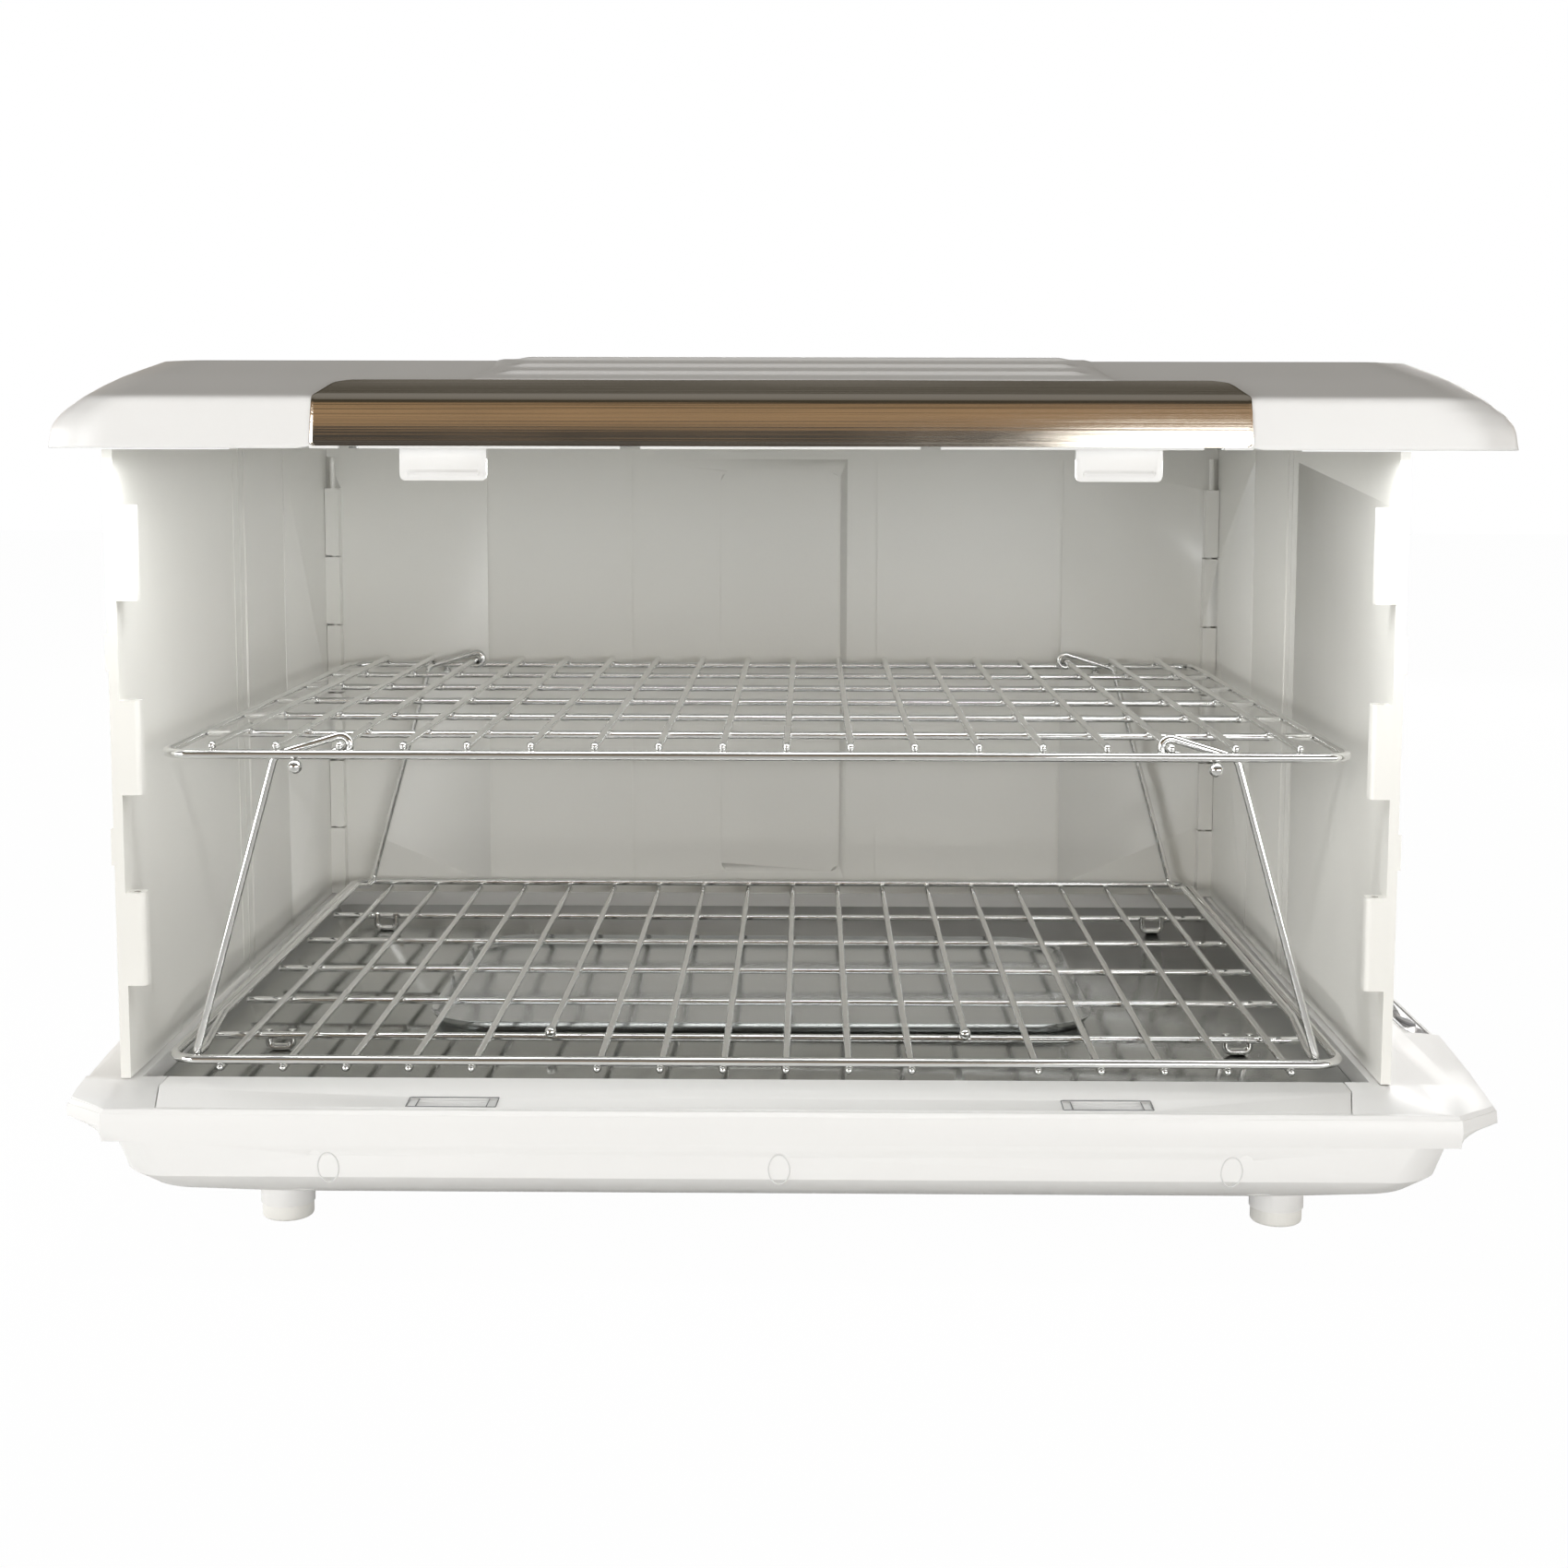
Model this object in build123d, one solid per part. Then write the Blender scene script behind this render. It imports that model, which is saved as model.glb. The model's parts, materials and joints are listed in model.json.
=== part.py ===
from build123d import *
import os
from math import atan2, cos, degrees, hypot, radians, sin

# Folding dough proofer: a heated base with a water tray and a lower rack, a set of
# folding walls, a lift-off lid, and an upper shelf on folding wire legs.
# Millimetres.  +X is to the right, -Y is the open front, +Z is up.  The origin is
# at the middle of the footprint, on the surface that the feet stand on.

# ---- plan of base and lid -----------------------------------------------------------
BODY_D = 368.0        # front to back
CORNER_X = 206.0      # half length of the straight front and back edges
TIP_X = 219.5         # half width at the tip, where the short corner edge meets the side
TIP_INSET = 11.0      # front edge back to the tip
BOW_X = 228.6         # half width at mid depth, where the sides bow out most

# ---- base ---------------------------------------------------------------------------
FOOT_H = 15.0         # ground to the underside of the pan
PAN_H = 35.0          # underside of the pan to the top of its rim
PAN_T = 2.2           # pan wall
LIP_H = 8.5           # height of the straight lip along the front
TIP_H = 3.7           # height of the rim at its thin outer edge
BOWL_X = 200.5        # half width of the bowl under the lip
BOWL_FLOOR_X = 176.0  # half width of the flat underside
BOWL_TUCK = 34.0      # front edge back to the flat underside
BOWL_CORNER = 14.0    # plan radius of the bowl's corners under the lip
DECK_T = 2.0          # deck plate
DECK_EDGE = 1.2       # height of the deck's rounded edge
FOOT_X = 162.0
FOOT_INSET = 55.0     # front edge back to the feet
POST_R = 8.75
CAP_R = 8.3
CAP_H = 5.0
STEM_R = 3.0          # stem of the rubber foot inside its post
STEM_H = 5.0
SCREW_X = 150.0
SCREW_INSET = 24.0
BOSS_R = 4.5
SHANK_R = 1.5
SCREW_HEAD_R = 3.2
SCREW_HEAD_H = 2.4
BOSS_JOIN_Z = 38.0    # height at which the pan and deck bosses meet
OVAL_X = 141.0        # shallow ovals in the front of the pan, one of them in the middle

# ---- chamber ------------------------------------------------------------------------
CHAMBER_X = -8.3      # middle of the chamber, left of centre to leave room for the controls
CHAMBER_W = 393.3     # inside width
WALL_T = 3.1
WALL_FRONT_INSET = 29.6  # front edge of the base to the front edge of the side walls
WALL_BACK_INSET = 30.9   # back edge of the base to the inside face of the back wall
CHAMBER_H = 198.4     # deck to the lower edge of the lid
FOLD_Y = -2.2         # fold line across each side wall
PANEL_GAP = 0.4       # gap between a panel and what it swings past
HINGE_R = 2.6         # barrel of the fold hinge
HINGE_PIN_R = 1.2
PIN_FIT = 0.05        # radial running clearance of a hinge pin
FOLD_KNUCKLES = 7     # barrels along one fold
GROOVE_DEPTH = 1.3    # groove in the deck for the fixed walls
GROOVE_GAP = 0.3
KNUCKLE = 6.0         # size of the square hinge blocks in the corners
KNUCKLE_H = 29.5
KNUCKLE_DROP = 17.4   # lower edge of the lid down to the highest corner block
KNUCKLE_LOW = 0.25    # deck to the lowest corner block
EDGE_PAD_H = 11.5     # small pads on the free edges, between the blocks
EDGE_PAD_PROUD = 0.9
FOLD_LINE = 8.2       # fold to the fine line beside it
SIDE_LINE = 72.0      # fold to the fine line further back
BACK_LINES = (-126.0, -62.0, 46.0, 128.0)  # fine lines up the back wall, from its middle
LINE_DEPTH = 0.4
PANEL_W = 53.5        # shallow outlined panel in the back wall
PANEL_MARGIN = 9.5    # above and below that panel
BACK_RIB_X = 36.05    # low upright rib on the back wall, from its middle
BACK_RIB_W = 4.9

# ---- well, heater and tray ----------------------------------------------------------
WELL_MARGIN = 2.2     # chamber wall to the edge of the well
WELL_T = 2.2
WELL_DROP = 5.8       # deck to the top of the heater plate
PLATE_T = 1.0
LEDGE_W = 5.0
LEDGE_T = 1.7
ROD_R = 1.5           # heating element
ROD_RUNS = 7
ROD_MARGIN = 30.0     # ledge to the heating element's bends
SHIELD_T = 0.8
SHIELD_HALF = 184.0   # half width of the shield, which has to fit inside the bowl
PAD_T = 4.8
TRAY_W = 238.0
TRAY_D = 144.0
TRAY_H = 4.0
TRAY_T = 0.7
TRAY_CORNER = 22.0

# ---- front rail ---------------------------------------------------------------------
RAIL_BACK_INSET = 33.3   # the insets are measured from the front edge of the base
RAIL_CREST_INSET = 20.0
RAIL_FRONT_INSET = 3.2
RAIL_BACK_HALF = 185.8
RAIL_FRONT_HALF = 181.2
RAIL_STEP_INSET = 23.0   # where the rail's ends start to draw in
RAIL_RISE = 0.4       # rail above the deck
RAIL_T = 2.0
SEAM = 0.35           # seam round the rail
BAND_RIGHT_X = 200.6  # right end of the raised band
LATCH_X = 100.0
LATCH_W = 27.4
LATCH_BACK_INSET = 13.0
LATCH_FRONT_INSET = 4.8

# ---- controls -----------------------------------------------------------------------
PANEL_TOP_X = 213.0   # upper edge of the sloping control facet
PANEL_ANGLE = 20.0    # slope of the facet
PANEL_HALF = 88.0     # half length of the facet
BEZEL_W = 13.0
BEZEL_L = 164.0
BEZEL_T = 1.2
BEZEL_EDGE = 1.4      # facet left above the bezel
LENS_W = 7.6
LENS_L = 40.0
LENS_Y = -16.0
BUTTON_R = 3.6
BUTTON_H = 3.6
BUTTON_PROUD = 0.7
BUTTON_TRAVEL = 0.8
BUTTON_GAP = 0.3
BUTTON_YS = {"power_button": -62.0, "down_button": 24.0, "up_button": 42.0, "timer_button": 64.0}
BOARD_W = 17.0
BOARD_L = 130.0
BOARD_T = 1.6
BOARD_DROP = 4.2      # underside of the deck to the top of the board
INLET_X = 150.0
INLET_W = 24.0
INLET_H = 13.0
INLET_DEPTH = 14.0

# ---- racks --------------------------------------------------------------------------
RACK_W = 372.5        # between the centre lines of the frame's sides
RACK_INSET = 35.5     # front edge of the base to the centre line of the frame's front
RACK_CORNER = 9.0
WIRE_PITCH = 20.0
WIRE_COUNT = 18
CROSS_COUNT = 5
FRAME_R = 1.5
WIRE_R = 1.25
LOWER_FRAME_Z = 57.4
SHELF_FRAME_Z = 155.25
SHORT_WIRES = (5, 12)  # wires of the lower rack that stop at its first cross wire
BALL_R = 2.0
RACK_FOOT_R = 1.25
DETENT_R = 2.3
DETENT_X = 143.8
LEG_R = 1.3
LEG_HOOK_WIRE = 2     # wire that a leg hooks round, counted from the side
LEG_GAP = 0.3         # hook to wire, and leg to frame
KNEE_X = 151.0
KNEE_DROP = 3.4       # wire centre down to the knee
LEG_FOOT_X = 178.2
LEG_FOOT_Z = 57.9
LEG_BAR_Z = 63.0
LEG_FOOT_L = 12.0
LEG_RISE_L = 24.0
KNEE_BEND = 4.0
FOOT_BEND = 3.0
BAR_BEND = 5.0

# ---- lid ----------------------------------------------------------------------------
LID_T = 2.4
LID_FACE_H = 15.1     # height of the upright front face
LID_H = 27.2
LID_FACE_LEAN = 1.0   # how far the front face leans back
LID_FACET_D = 43.0    # depth of the sloping facet above it
LID_SHOULDER = 11.5   # how far the ends draw in up to the height of the front face
LID_END_SLOPE = 33.0  # how far the ends draw in up to the flat top
TRIM_T = 0.6
TRIM_HALF = 138.0
TRIM_CORNER = 5.6     # how much shorter the trim's upper edge is at each end
TRIM_FACET_D = 17.0   # how far the trim reaches up the facet
TRIM_LIFT = 0.8       # plastic edge left under the trim
LIP_NOTCH_XS = (-126.6, -44.0, 44.0, 126.6)
LIP_NOTCH_W = 6.0
LINER_LIFT = 0.8
LINER_T = 1.8
CHANNEL_DEPTH = 4.0   # channel in the liner that takes the tops of the fixed walls
TAB_W = 25.7
TAB_T = 2.2
TAB_DROP = 9.4
TAB_INSET = 9.0
RIB_HALF = 92.0
RIB_W = 3.4
RIB_H = 0.9
RIB_PITCH = 7.0
FACET_RIBS = 3
TOP_RIBS = 5
LID_SCREW_INSET = 11.65  # inside of the chamber to the outer screws of the liner
LID_SCREW_BACK = 64.0    # front edge of the lid back to those screws

# ---- worked out from the sizes above ------------------------------------------------
HALF_D = BODY_D / 2
TIP_Y = HALF_D - TIP_INSET
BOWL_FLOOR_Y = HALF_D - BOWL_TUCK
FOOT_Y = HALF_D - FOOT_INSET
SCREW_Y = HALF_D - SCREW_INSET
WALL_FRONT_Y = WALL_FRONT_INSET - HALF_D
WALL_BACK_Y = HALF_D - WALL_BACK_INSET
RAIL_BACK_Y = RAIL_BACK_INSET - HALF_D
RAIL_CREST_Y = RAIL_CREST_INSET - HALF_D
RAIL_FRONT_Y = RAIL_FRONT_INSET - HALF_D
RAIL_STEP_Y = RAIL_STEP_INSET - HALF_D
LATCH_BACK_Y = LATCH_BACK_INSET - HALF_D
LATCH_FRONT_Y = LATCH_FRONT_INSET - HALF_D
TAB_Y = TAB_INSET - HALF_D
RACK_D = BODY_D - 2 * RACK_INSET
RIM_Z = FOOT_H + PAN_H
LIP_Z = RIM_Z - LIP_H
DECK_Z = RIM_Z + DECK_T
RAIL_Z = DECK_Z + RAIL_RISE
PLATE_Z = DECK_Z - WELL_DROP
LEDGE_Z = PLATE_Z - PLATE_T
LID_Z = DECK_Z + CHAMBER_H
LID_TOP_Z = LID_Z + LID_H
LINER_Z = LID_Z + LINER_LIFT
SWING_Z0 = RAIL_Z + PANEL_GAP
SWING_Z1 = LID_Z - PANEL_GAP
FIXED_Z0 = DECK_Z - GROOVE_DEPTH + GROOVE_GAP
FIXED_Z1 = LINER_Z + CHANNEL_DEPTH - GROOVE_GAP
HALF_W = CHAMBER_W / 2
KNUCKLE_TOP = CHAMBER_H - KNUCKLE_DROP
KNUCKLE_PITCH = (KNUCKLE_TOP - KNUCKLE_H - KNUCKLE_LOW) / 2.5
WELL_HALF = HALF_W - WELL_MARGIN
WELL_BACK_Y = WALL_BACK_Y - WELL_MARGIN + 0.6
LID_BACK = TRIM_T     # the lid's own front face stands back by the thickness of the trim
RACK_FRONT_Y = -RACK_D / 2
SHELF_WIRE_Z = SHELF_FRAME_Z + FRAME_R + WIRE_R
SHELF_CROSS_Z = SHELF_WIRE_Z - 2 * WIRE_R
LOWER_WIRE_Z = LOWER_FRAME_Z - FRAME_R - WIRE_R
LOWER_CROSS_Z = LOWER_WIRE_Z - 2 * WIRE_R
CROSS_PITCH = RACK_D / (CROSS_COUNT + 1)
LEG_Y = RACK_D / 2 - FRAME_R - LEG_GAP - LEG_R
HOOK_R = WIRE_R + LEG_GAP + LEG_R
FOOT_REACH = FRAME_R + LEG_GAP + LEG_R + FOOT_BEND   # frame to the middle of a foot's bend
FOOT_RISE = LEG_FOOT_Z + FOOT_BEND - LOWER_FRAME_Z
LEG_FOOT_Y = RACK_D / 2 + FOOT_BEND - (FOOT_REACH ** 2 - FOOT_RISE ** 2) ** 0.5
FACET_DIR = Vector(cos(radians(PANEL_ANGLE)), 0, -sin(radians(PANEL_ANGLE)))
FACET_NORMAL = Vector(sin(radians(PANEL_ANGLE)), 0, cos(radians(PANEL_ANGLE)))
CONTROL_ROW = BEZEL_EDGE + BEZEL_W / 2


# ---- helpers ------------------------------------------------------------------------
def block(x0, x1, y0, y1, z0, z1):
    """Box between two corners."""
    size = (x1 - x0, y1 - y0, z1 - z0)
    return Pos((x0 + x1) / 2, (y0 + y1) / 2, (z0 + z1) / 2) * Box(*size)


def upright(x, y, z0, z1, radius):
    """Upright cylinder between two heights."""
    return Pos(x, y, (z0 + z1) / 2) * Cylinder(radius, z1 - z0)


def rod_x(x0, x1, y, z, radius):
    """Wire that runs along X."""
    return Pos((x0 + x1) / 2, y, z) * Rot(0, 90, 0) * Cylinder(radius, x1 - x0)


def rod_y(x, y0, y1, z, radius):
    """Wire that runs along Y."""
    return Pos(x, (y0 + y1) / 2, z) * Rot(90, 0, 0) * Cylinder(radius, y1 - y0)


def prism_x(points_yz, x0, x1):
    """Profile drawn in Y and Z, carried along X."""
    face = make_face(Polyline([(x0, y, z) for y, z in points_yz], close=True))
    return extrude(face, amount=x1 - x0, dir=(1, 0, 0))


def prism_y(points_xz, y0, y1):
    """Profile drawn in X and Z, carried along Y."""
    face = make_face(Polyline([(x, y0, z) for x, z in points_xz], close=True))
    return extrude(face, amount=y1 - y0, dir=(0, 1, 0))


def mirrored(shape):
    """Twin of a chamber part on the other side of the chamber's middle plane."""
    return mirror(shape, Plane.YZ.offset(CHAMBER_X))


def plan(z, side=0.0, end=0.0, tip=None, bow=None):
    """Plan outline at height z, drawn in from the widest one at its sides and ends."""
    tip = side if tip is None else tip
    bow = side if bow is None else bow
    fx = CORNER_X - side
    fy = HALF_D - end
    tx = TIP_X - tip
    ty = TIP_Y - end
    bx = BOW_X - bow
    edges = [
        Line((-fx, -fy, z), (fx, -fy, z)),
        Line((fx, -fy, z), (tx, -ty, z)),
        ThreePointArc((tx, -ty, z), (bx, 0, z), (tx, ty, z)),
        Line((tx, ty, z), (fx, fy, z)),
        Line((fx, fy, z), (-fx, fy, z)),
        Line((-fx, fy, z), (-tx, ty, z)),
        ThreePointArc((-tx, ty, z), (-bx, 0, z), (-tx, -ty, z)),
        Line((-tx, -ty, z), (-fx, -fy, z)),
    ]
    return make_face(edges)


def bowl_section(z, half_x, half_y, radius):
    """Rounded rectangle of the bowl at height z."""
    return Pos(0, 0, z) * RectangleRounded(2 * half_x, 2 * half_y, radius)


# ---- base ---------------------------------------------------------------------------
def bowl(inset, floor_z, top_z):
    """Bowl under the lip: upright at the top and tucked under to a flat floor."""
    knee_z = FOOT_H + 0.43 * (LIP_Z - FOOT_H) + 3.6
    heel_z = FOOT_H + 0.26 * (LIP_Z - FOOT_H)
    sections = [
        bowl_section(floor_z, BOWL_FLOOR_X - inset, BOWL_FLOOR_Y - inset, BOWL_CORNER + 8),
        bowl_section(heel_z + inset / 2, BOWL_X - 12.5 - inset, HALF_D - 16 - inset, BOWL_CORNER + 6),
        bowl_section(knee_z, BOWL_X - 6.5 - inset, HALF_D - 2.4 - inset, BOWL_CORNER + 2),
        bowl_section(top_z, BOWL_X - inset, HALF_D - inset, BOWL_CORNER),
    ]
    return loft(sections, ruled=True)


def rim(inset, low_z, high_z):
    """Bowed rim above the bowl: tall along the front and thin at the sides."""
    sections = [
        plan(low_z, 0.5 + inset, inset, tip=TIP_X - CORNER_X - 0.5 + inset, bow=3.6 + inset),
        plan(RIM_Z - TIP_H, inset, inset),
        plan(high_z, 0.3 + inset, 0.2 + inset),
    ]
    return loft(sections, ruled=True)


def facet_point(along, depth, y):
    """Point under the control facet: along its slope, and down into the base."""
    top = Vector(PANEL_TOP_X, y, DECK_Z)
    return top + FACET_DIR * along - FACET_NORMAL * depth


def facet_frame(along, depth, y):
    """Frame on the control facet, with its z axis out of the slope."""
    return Plane(origin=facet_point(along, depth, y), x_dir=FACET_DIR, z_dir=FACET_NORMAL)


def facet_block(along, depth0, depth1, y, width, length, corner):
    """Rounded plate that lies in the control facet."""
    sheet = facet_frame(along, depth1, y) * RectangleRounded(width, length, corner)
    return extrude(sheet, amount=depth1 - depth0, dir=FACET_NORMAL)


def facet_wedge(depth, half_length):
    """Everything above a plane under the control facet."""
    low = facet_point(-8.0, depth, 0)
    high = facet_point(40.0, depth, 0)
    points = [(low.X, low.Z), (high.X, high.Z), (high.X, low.Z)]
    return prism_y(points, -half_length, half_length)


def base_pan():
    """Lower moulding: bowl, bowed rim, foot posts and screw bosses."""
    skin = 1.8
    outer = bowl(0, FOOT_H, LIP_Z) + rim(0, LIP_Z, RIM_Z)
    inner = bowl(PAN_T, FOOT_H + PAN_T, LIP_Z + skin) + rim(PAN_T, LIP_Z + skin, RIM_Z + 0.01)
    pan = outer - inner
    for sx in (-1, 1):
        for sy in (-1, 1):
            pan += upright(sx * FOOT_X, sy * FOOT_Y, CAP_H, FOOT_H + PAN_T / 2, POST_R)
            pan -= upright(sx * FOOT_X, sy * FOOT_Y, CAP_H, CAP_H + STEM_H, STEM_R + PIN_FIT)
            boss = upright(sx * SCREW_X, sy * SCREW_Y, FOOT_H, BOSS_JOIN_Z, BOSS_R) & outer
            pan += boss
            pan -= upright(sx * SCREW_X, sy * SCREW_Y, FOOT_H, BOSS_JOIN_Z, SHANK_R + 0.2)
            pan -= upright(sx * SCREW_X, sy * SCREW_Y, FOOT_H, head_z(), SCREW_HEAD_R + 0.3)
    pan -= facet_wedge(DECK_T, PANEL_HALF)
    inlet_z = inlet_height()
    pan -= block(INLET_X - INLET_W / 2 - SEAM, INLET_X + INLET_W / 2 + SEAM, HALF_D - 8, HALF_D + 1,
                 inlet_z - INLET_H / 2 - SEAM, inlet_z + INLET_H / 2 + SEAM)
    for y in BUTTON_YS.values():
        pan -= button_shaft(y)
    for x in (-OVAL_X, 0.0, OVAL_X):
        oval = Plane.XZ.offset(HALF_D) * Pos(x, LIP_Z - 7.5) * Ellipse(3.1, 5.0)
        pan -= extrude(oval, amount=-0.9)
    return pan


def button_shaft(y):
    """Room in the pan for a button that is pressed all the way."""
    depth = BUTTON_H - BUTTON_PROUD + BUTTON_TRAVEL + BUTTON_GAP
    circle = facet_frame(CONTROL_ROW, depth, y) * Circle(BUTTON_R + BUTTON_GAP)
    return extrude(circle, amount=depth, dir=FACET_NORMAL)


def head_z():
    """Height of the shoulder under which a base screw's head sits."""
    return FOOT_H + 10.0


def inlet_height():
    """Middle of the power inlet, on the upright part of the pan's back."""
    return LIP_Z - 3.0


def deck_plate():
    """Crowned plate of the deck, sloping down to a soft edge all round."""
    sections = [
        plan(RIM_Z, 0.6, 0.5),
        plan(RIM_Z + DECK_EDGE, 1.2, 1.2),
        plan(DECK_Z, 7.0, RAIL_CREST_INSET),
    ]
    return loft(sections, ruled=True)


def rail_profile(z0):
    """Section of the front rail: flat on top, then sloping down to the lip."""
    return [
        (RAIL_BACK_Y, z0),
        (RAIL_FRONT_Y, z0),
        (RAIL_FRONT_Y, DECK_Z - 0.7),
        (RAIL_CREST_Y, RAIL_Z),
        (RAIL_BACK_Y, RAIL_Z),
    ]


def rail_outline(grow, z0, z1):
    """Plan of the front rail, whose ends draw in towards the front."""
    points = []
    for side in (-1, 1):
        points.append((CHAMBER_X + side * (RAIL_BACK_HALF + grow), RAIL_BACK_Y + grow))
        points.append((CHAMBER_X + side * (RAIL_BACK_HALF + grow), RAIL_STEP_Y))
        points.append((CHAMBER_X + side * (RAIL_FRONT_HALF + grow), RAIL_FRONT_Y - grow))
    left, right = points[:3], points[3:]
    outline = [(x, y, z0) for x, y in left + right[::-1]]
    return extrude(make_face(Polyline(outline, close=True)), amount=z1 - z0, dir=(0, 0, 1))


def well_ring(half, back_y, thickness, z0, z1):
    """Rectangular wall round the well."""
    x0, x1 = CHAMBER_X - half, CHAMBER_X + half
    outer = block(x0 - thickness, x1 + thickness, RAIL_BACK_Y - thickness, back_y + thickness, z0, z1)
    return outer - block(x0, x1, RAIL_BACK_Y, back_y, z0 - 1, z1 + 1)


def wall_groove():
    """Groove in the deck that the fixed walls stand in."""
    x = HALF_W - GROOVE_GAP
    t = WALL_T + 2 * GROOVE_GAP
    z0 = DECK_Z - GROOVE_DEPTH
    side = block(CHAMBER_X - x - t, CHAMBER_X - x, FOLD_Y, WALL_BACK_Y + WALL_T + GROOVE_GAP, z0, DECK_Z + 1)
    back = block(CHAMBER_X - x - t, CHAMBER_X + x + t, WALL_BACK_Y - GROOVE_GAP,
                 WALL_BACK_Y + WALL_T + GROOVE_GAP, z0, DECK_Z + 1)
    return side + mirrored(side) + back


def base_deck():
    """Upper moulding: deck plate, well with its ledge, control facet and bosses."""
    deck = deck_plate()
    shelf_z = DECK_Z + RAIL_RISE - RAIL_T
    deck += block(CHAMBER_X - RAIL_BACK_HALF - 4, CHAMBER_X + RAIL_BACK_HALF + 4, RAIL_FRONT_Y - 0.6,
                  RAIL_BACK_Y - WELL_T, shelf_z - 2.0, RIM_Z + 0.2)
    cover = plan(RIM_Z + DECK_EDGE, 1.4, 1.4)
    cover = extrude(cover, amount=6, dir=(0, 0, 1))
    band = prism_x(rail_profile(RIM_Z + DECK_EDGE / 2), -BOW_X, BAND_RIGHT_X)
    deck += band & cover
    deck += well_ring(WELL_HALF, WELL_BACK_Y, WELL_T, LEDGE_Z - LEDGE_T, RIM_Z + 0.5)
    deck -= block(CHAMBER_X - WELL_HALF, CHAMBER_X + WELL_HALF, RAIL_BACK_Y, WELL_BACK_Y,
                  LEDGE_Z - LEDGE_T - 1, DECK_Z + 2)
    ledge = well_ring(WELL_HALF - LEDGE_W, WELL_BACK_Y - LEDGE_W, LEDGE_W + 0.5, LEDGE_Z - LEDGE_T, LEDGE_Z)
    deck += ledge & block(CHAMBER_X - HALF_W, CHAMBER_X + HALF_W, RAIL_BACK_Y - 1, WALL_BACK_Y, 0, DECK_Z)
    deck += block(CHAMBER_X - WELL_HALF - 0.5, CHAMBER_X + WELL_HALF + 0.5, RAIL_BACK_Y - 0.5,
                  RAIL_BACK_Y + LEDGE_W, LEDGE_Z - LEDGE_T, LEDGE_Z)
    deck -= rail_outline(SEAM, shelf_z, RAIL_Z + 2)
    deck -= wall_groove()
    deck -= facet_wedge(0, PANEL_HALF)
    deck += facet_skin()
    deck -= facet_pocket()
    for sx in (-1, 1):
        for sy in (-1, 1):
            deck += upright(sx * SCREW_X, sy * SCREW_Y, BOSS_JOIN_Z, RIM_Z + 0.2, BOSS_R - 0.3)
            deck -= upright(sx * SCREW_X, sy * SCREW_Y, BOSS_JOIN_Z, screw_tip() + 1, SHANK_R + PIN_FIT)
    for y in (-BOARD_L / 2 + 6, BOARD_L / 2 - 6):
        deck += upright(board_x() - BOARD_W / 2 + 3, y, RIM_Z - BOARD_DROP, RIM_Z + 0.2, 2.2)
    return deck


def facet_skin():
    """Sloping skin of the control facet, with a cheek at each end."""
    top0 = facet_point(0, 0, 0)
    top1 = facet_point(BEZEL_W + 2 * BEZEL_EDGE, 0, 0)
    low1 = facet_point(BEZEL_W + 2 * BEZEL_EDGE, DECK_T, 0)
    low0 = facet_point(-2.4, DECK_T, 0)
    points = [(top0.X, top0.Z), (top1.X, top1.Z), (low1.X, low1.Z), (low0.X, low0.Z), (low0.X, RIM_Z + 0.2)]
    skin = prism_y(points, -PANEL_HALF + 0.1, PANEL_HALF - 0.1)
    inner = BOW_X - PAN_T - 4.5
    end = facet_point((inner - PANEL_TOP_X) / FACET_DIR.X, 0, 0)
    cheek = [(low0.X, RIM_Z + 0.2), (inner, RIM_Z + 0.2), (inner, end.Z - DECK_T), (low0.X, low0.Z)]
    for side in (-1, 1):
        y = side * PANEL_HALF
        skin += prism_y(cheek, min(y - 0.1, y + side * 1.6), max(y + 0.1, y + side * 1.6))
    return skin


def facet_pocket():
    """Pocket for the bezel, the window under the lens and the button holes."""
    pocket = facet_block(CONTROL_ROW, -3, BEZEL_T, 0, BEZEL_W + 0.2, BEZEL_L + 0.2, 3.1)
    pocket += facet_block(CONTROL_ROW, 0, DECK_T + 3, LENS_Y, LENS_W - 1.6, LENS_L - 1.6, 1.0)
    for y in BUTTON_YS.values():
        hole = facet_frame(CONTROL_ROW, DECK_T + 4, y) * Circle(BUTTON_R + BUTTON_GAP)
        pocket += extrude(hole, amount=DECK_T + 6, dir=FACET_NORMAL)
    return pocket


def screw_tip():
    """Upper end of a base screw."""
    return RIM_Z - 4.0


def board_x():
    """Middle of the control board, between the well and the facet."""
    return CHAMBER_X + WELL_HALF + WELL_T + 2.2 + BOARD_W / 2


def rubber_foot(x, y):
    """Rubber cap under a post, held by its stem."""
    cap = fillet(upright(x, y, 0, CAP_H, CAP_R).edges().group_by(Axis.Z)[0], 1.2)
    return cap + upright(x, y, CAP_H - 0.5, CAP_H + STEM_H - 0.3, STEM_R)


def base_screws():
    """Four screws that hold the pan to the deck."""
    screws = []
    for sx in (-1, 1):
        for sy in (-1, 1):
            x, y = sx * SCREW_X, sy * SCREW_Y
            head = upright(x, y, head_z() - SCREW_HEAD_H, head_z(), SCREW_HEAD_R)
            socket = Pos(x, y, head_z() - SCREW_HEAD_H) * RegularPolygon(1.4, 6)
            head -= extrude(socket, amount=1.3, dir=(0, 0, 1))
            screws.append(head + upright(x, y, head_z() - 0.2, screw_tip(), SHANK_R))
    return screws


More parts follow.
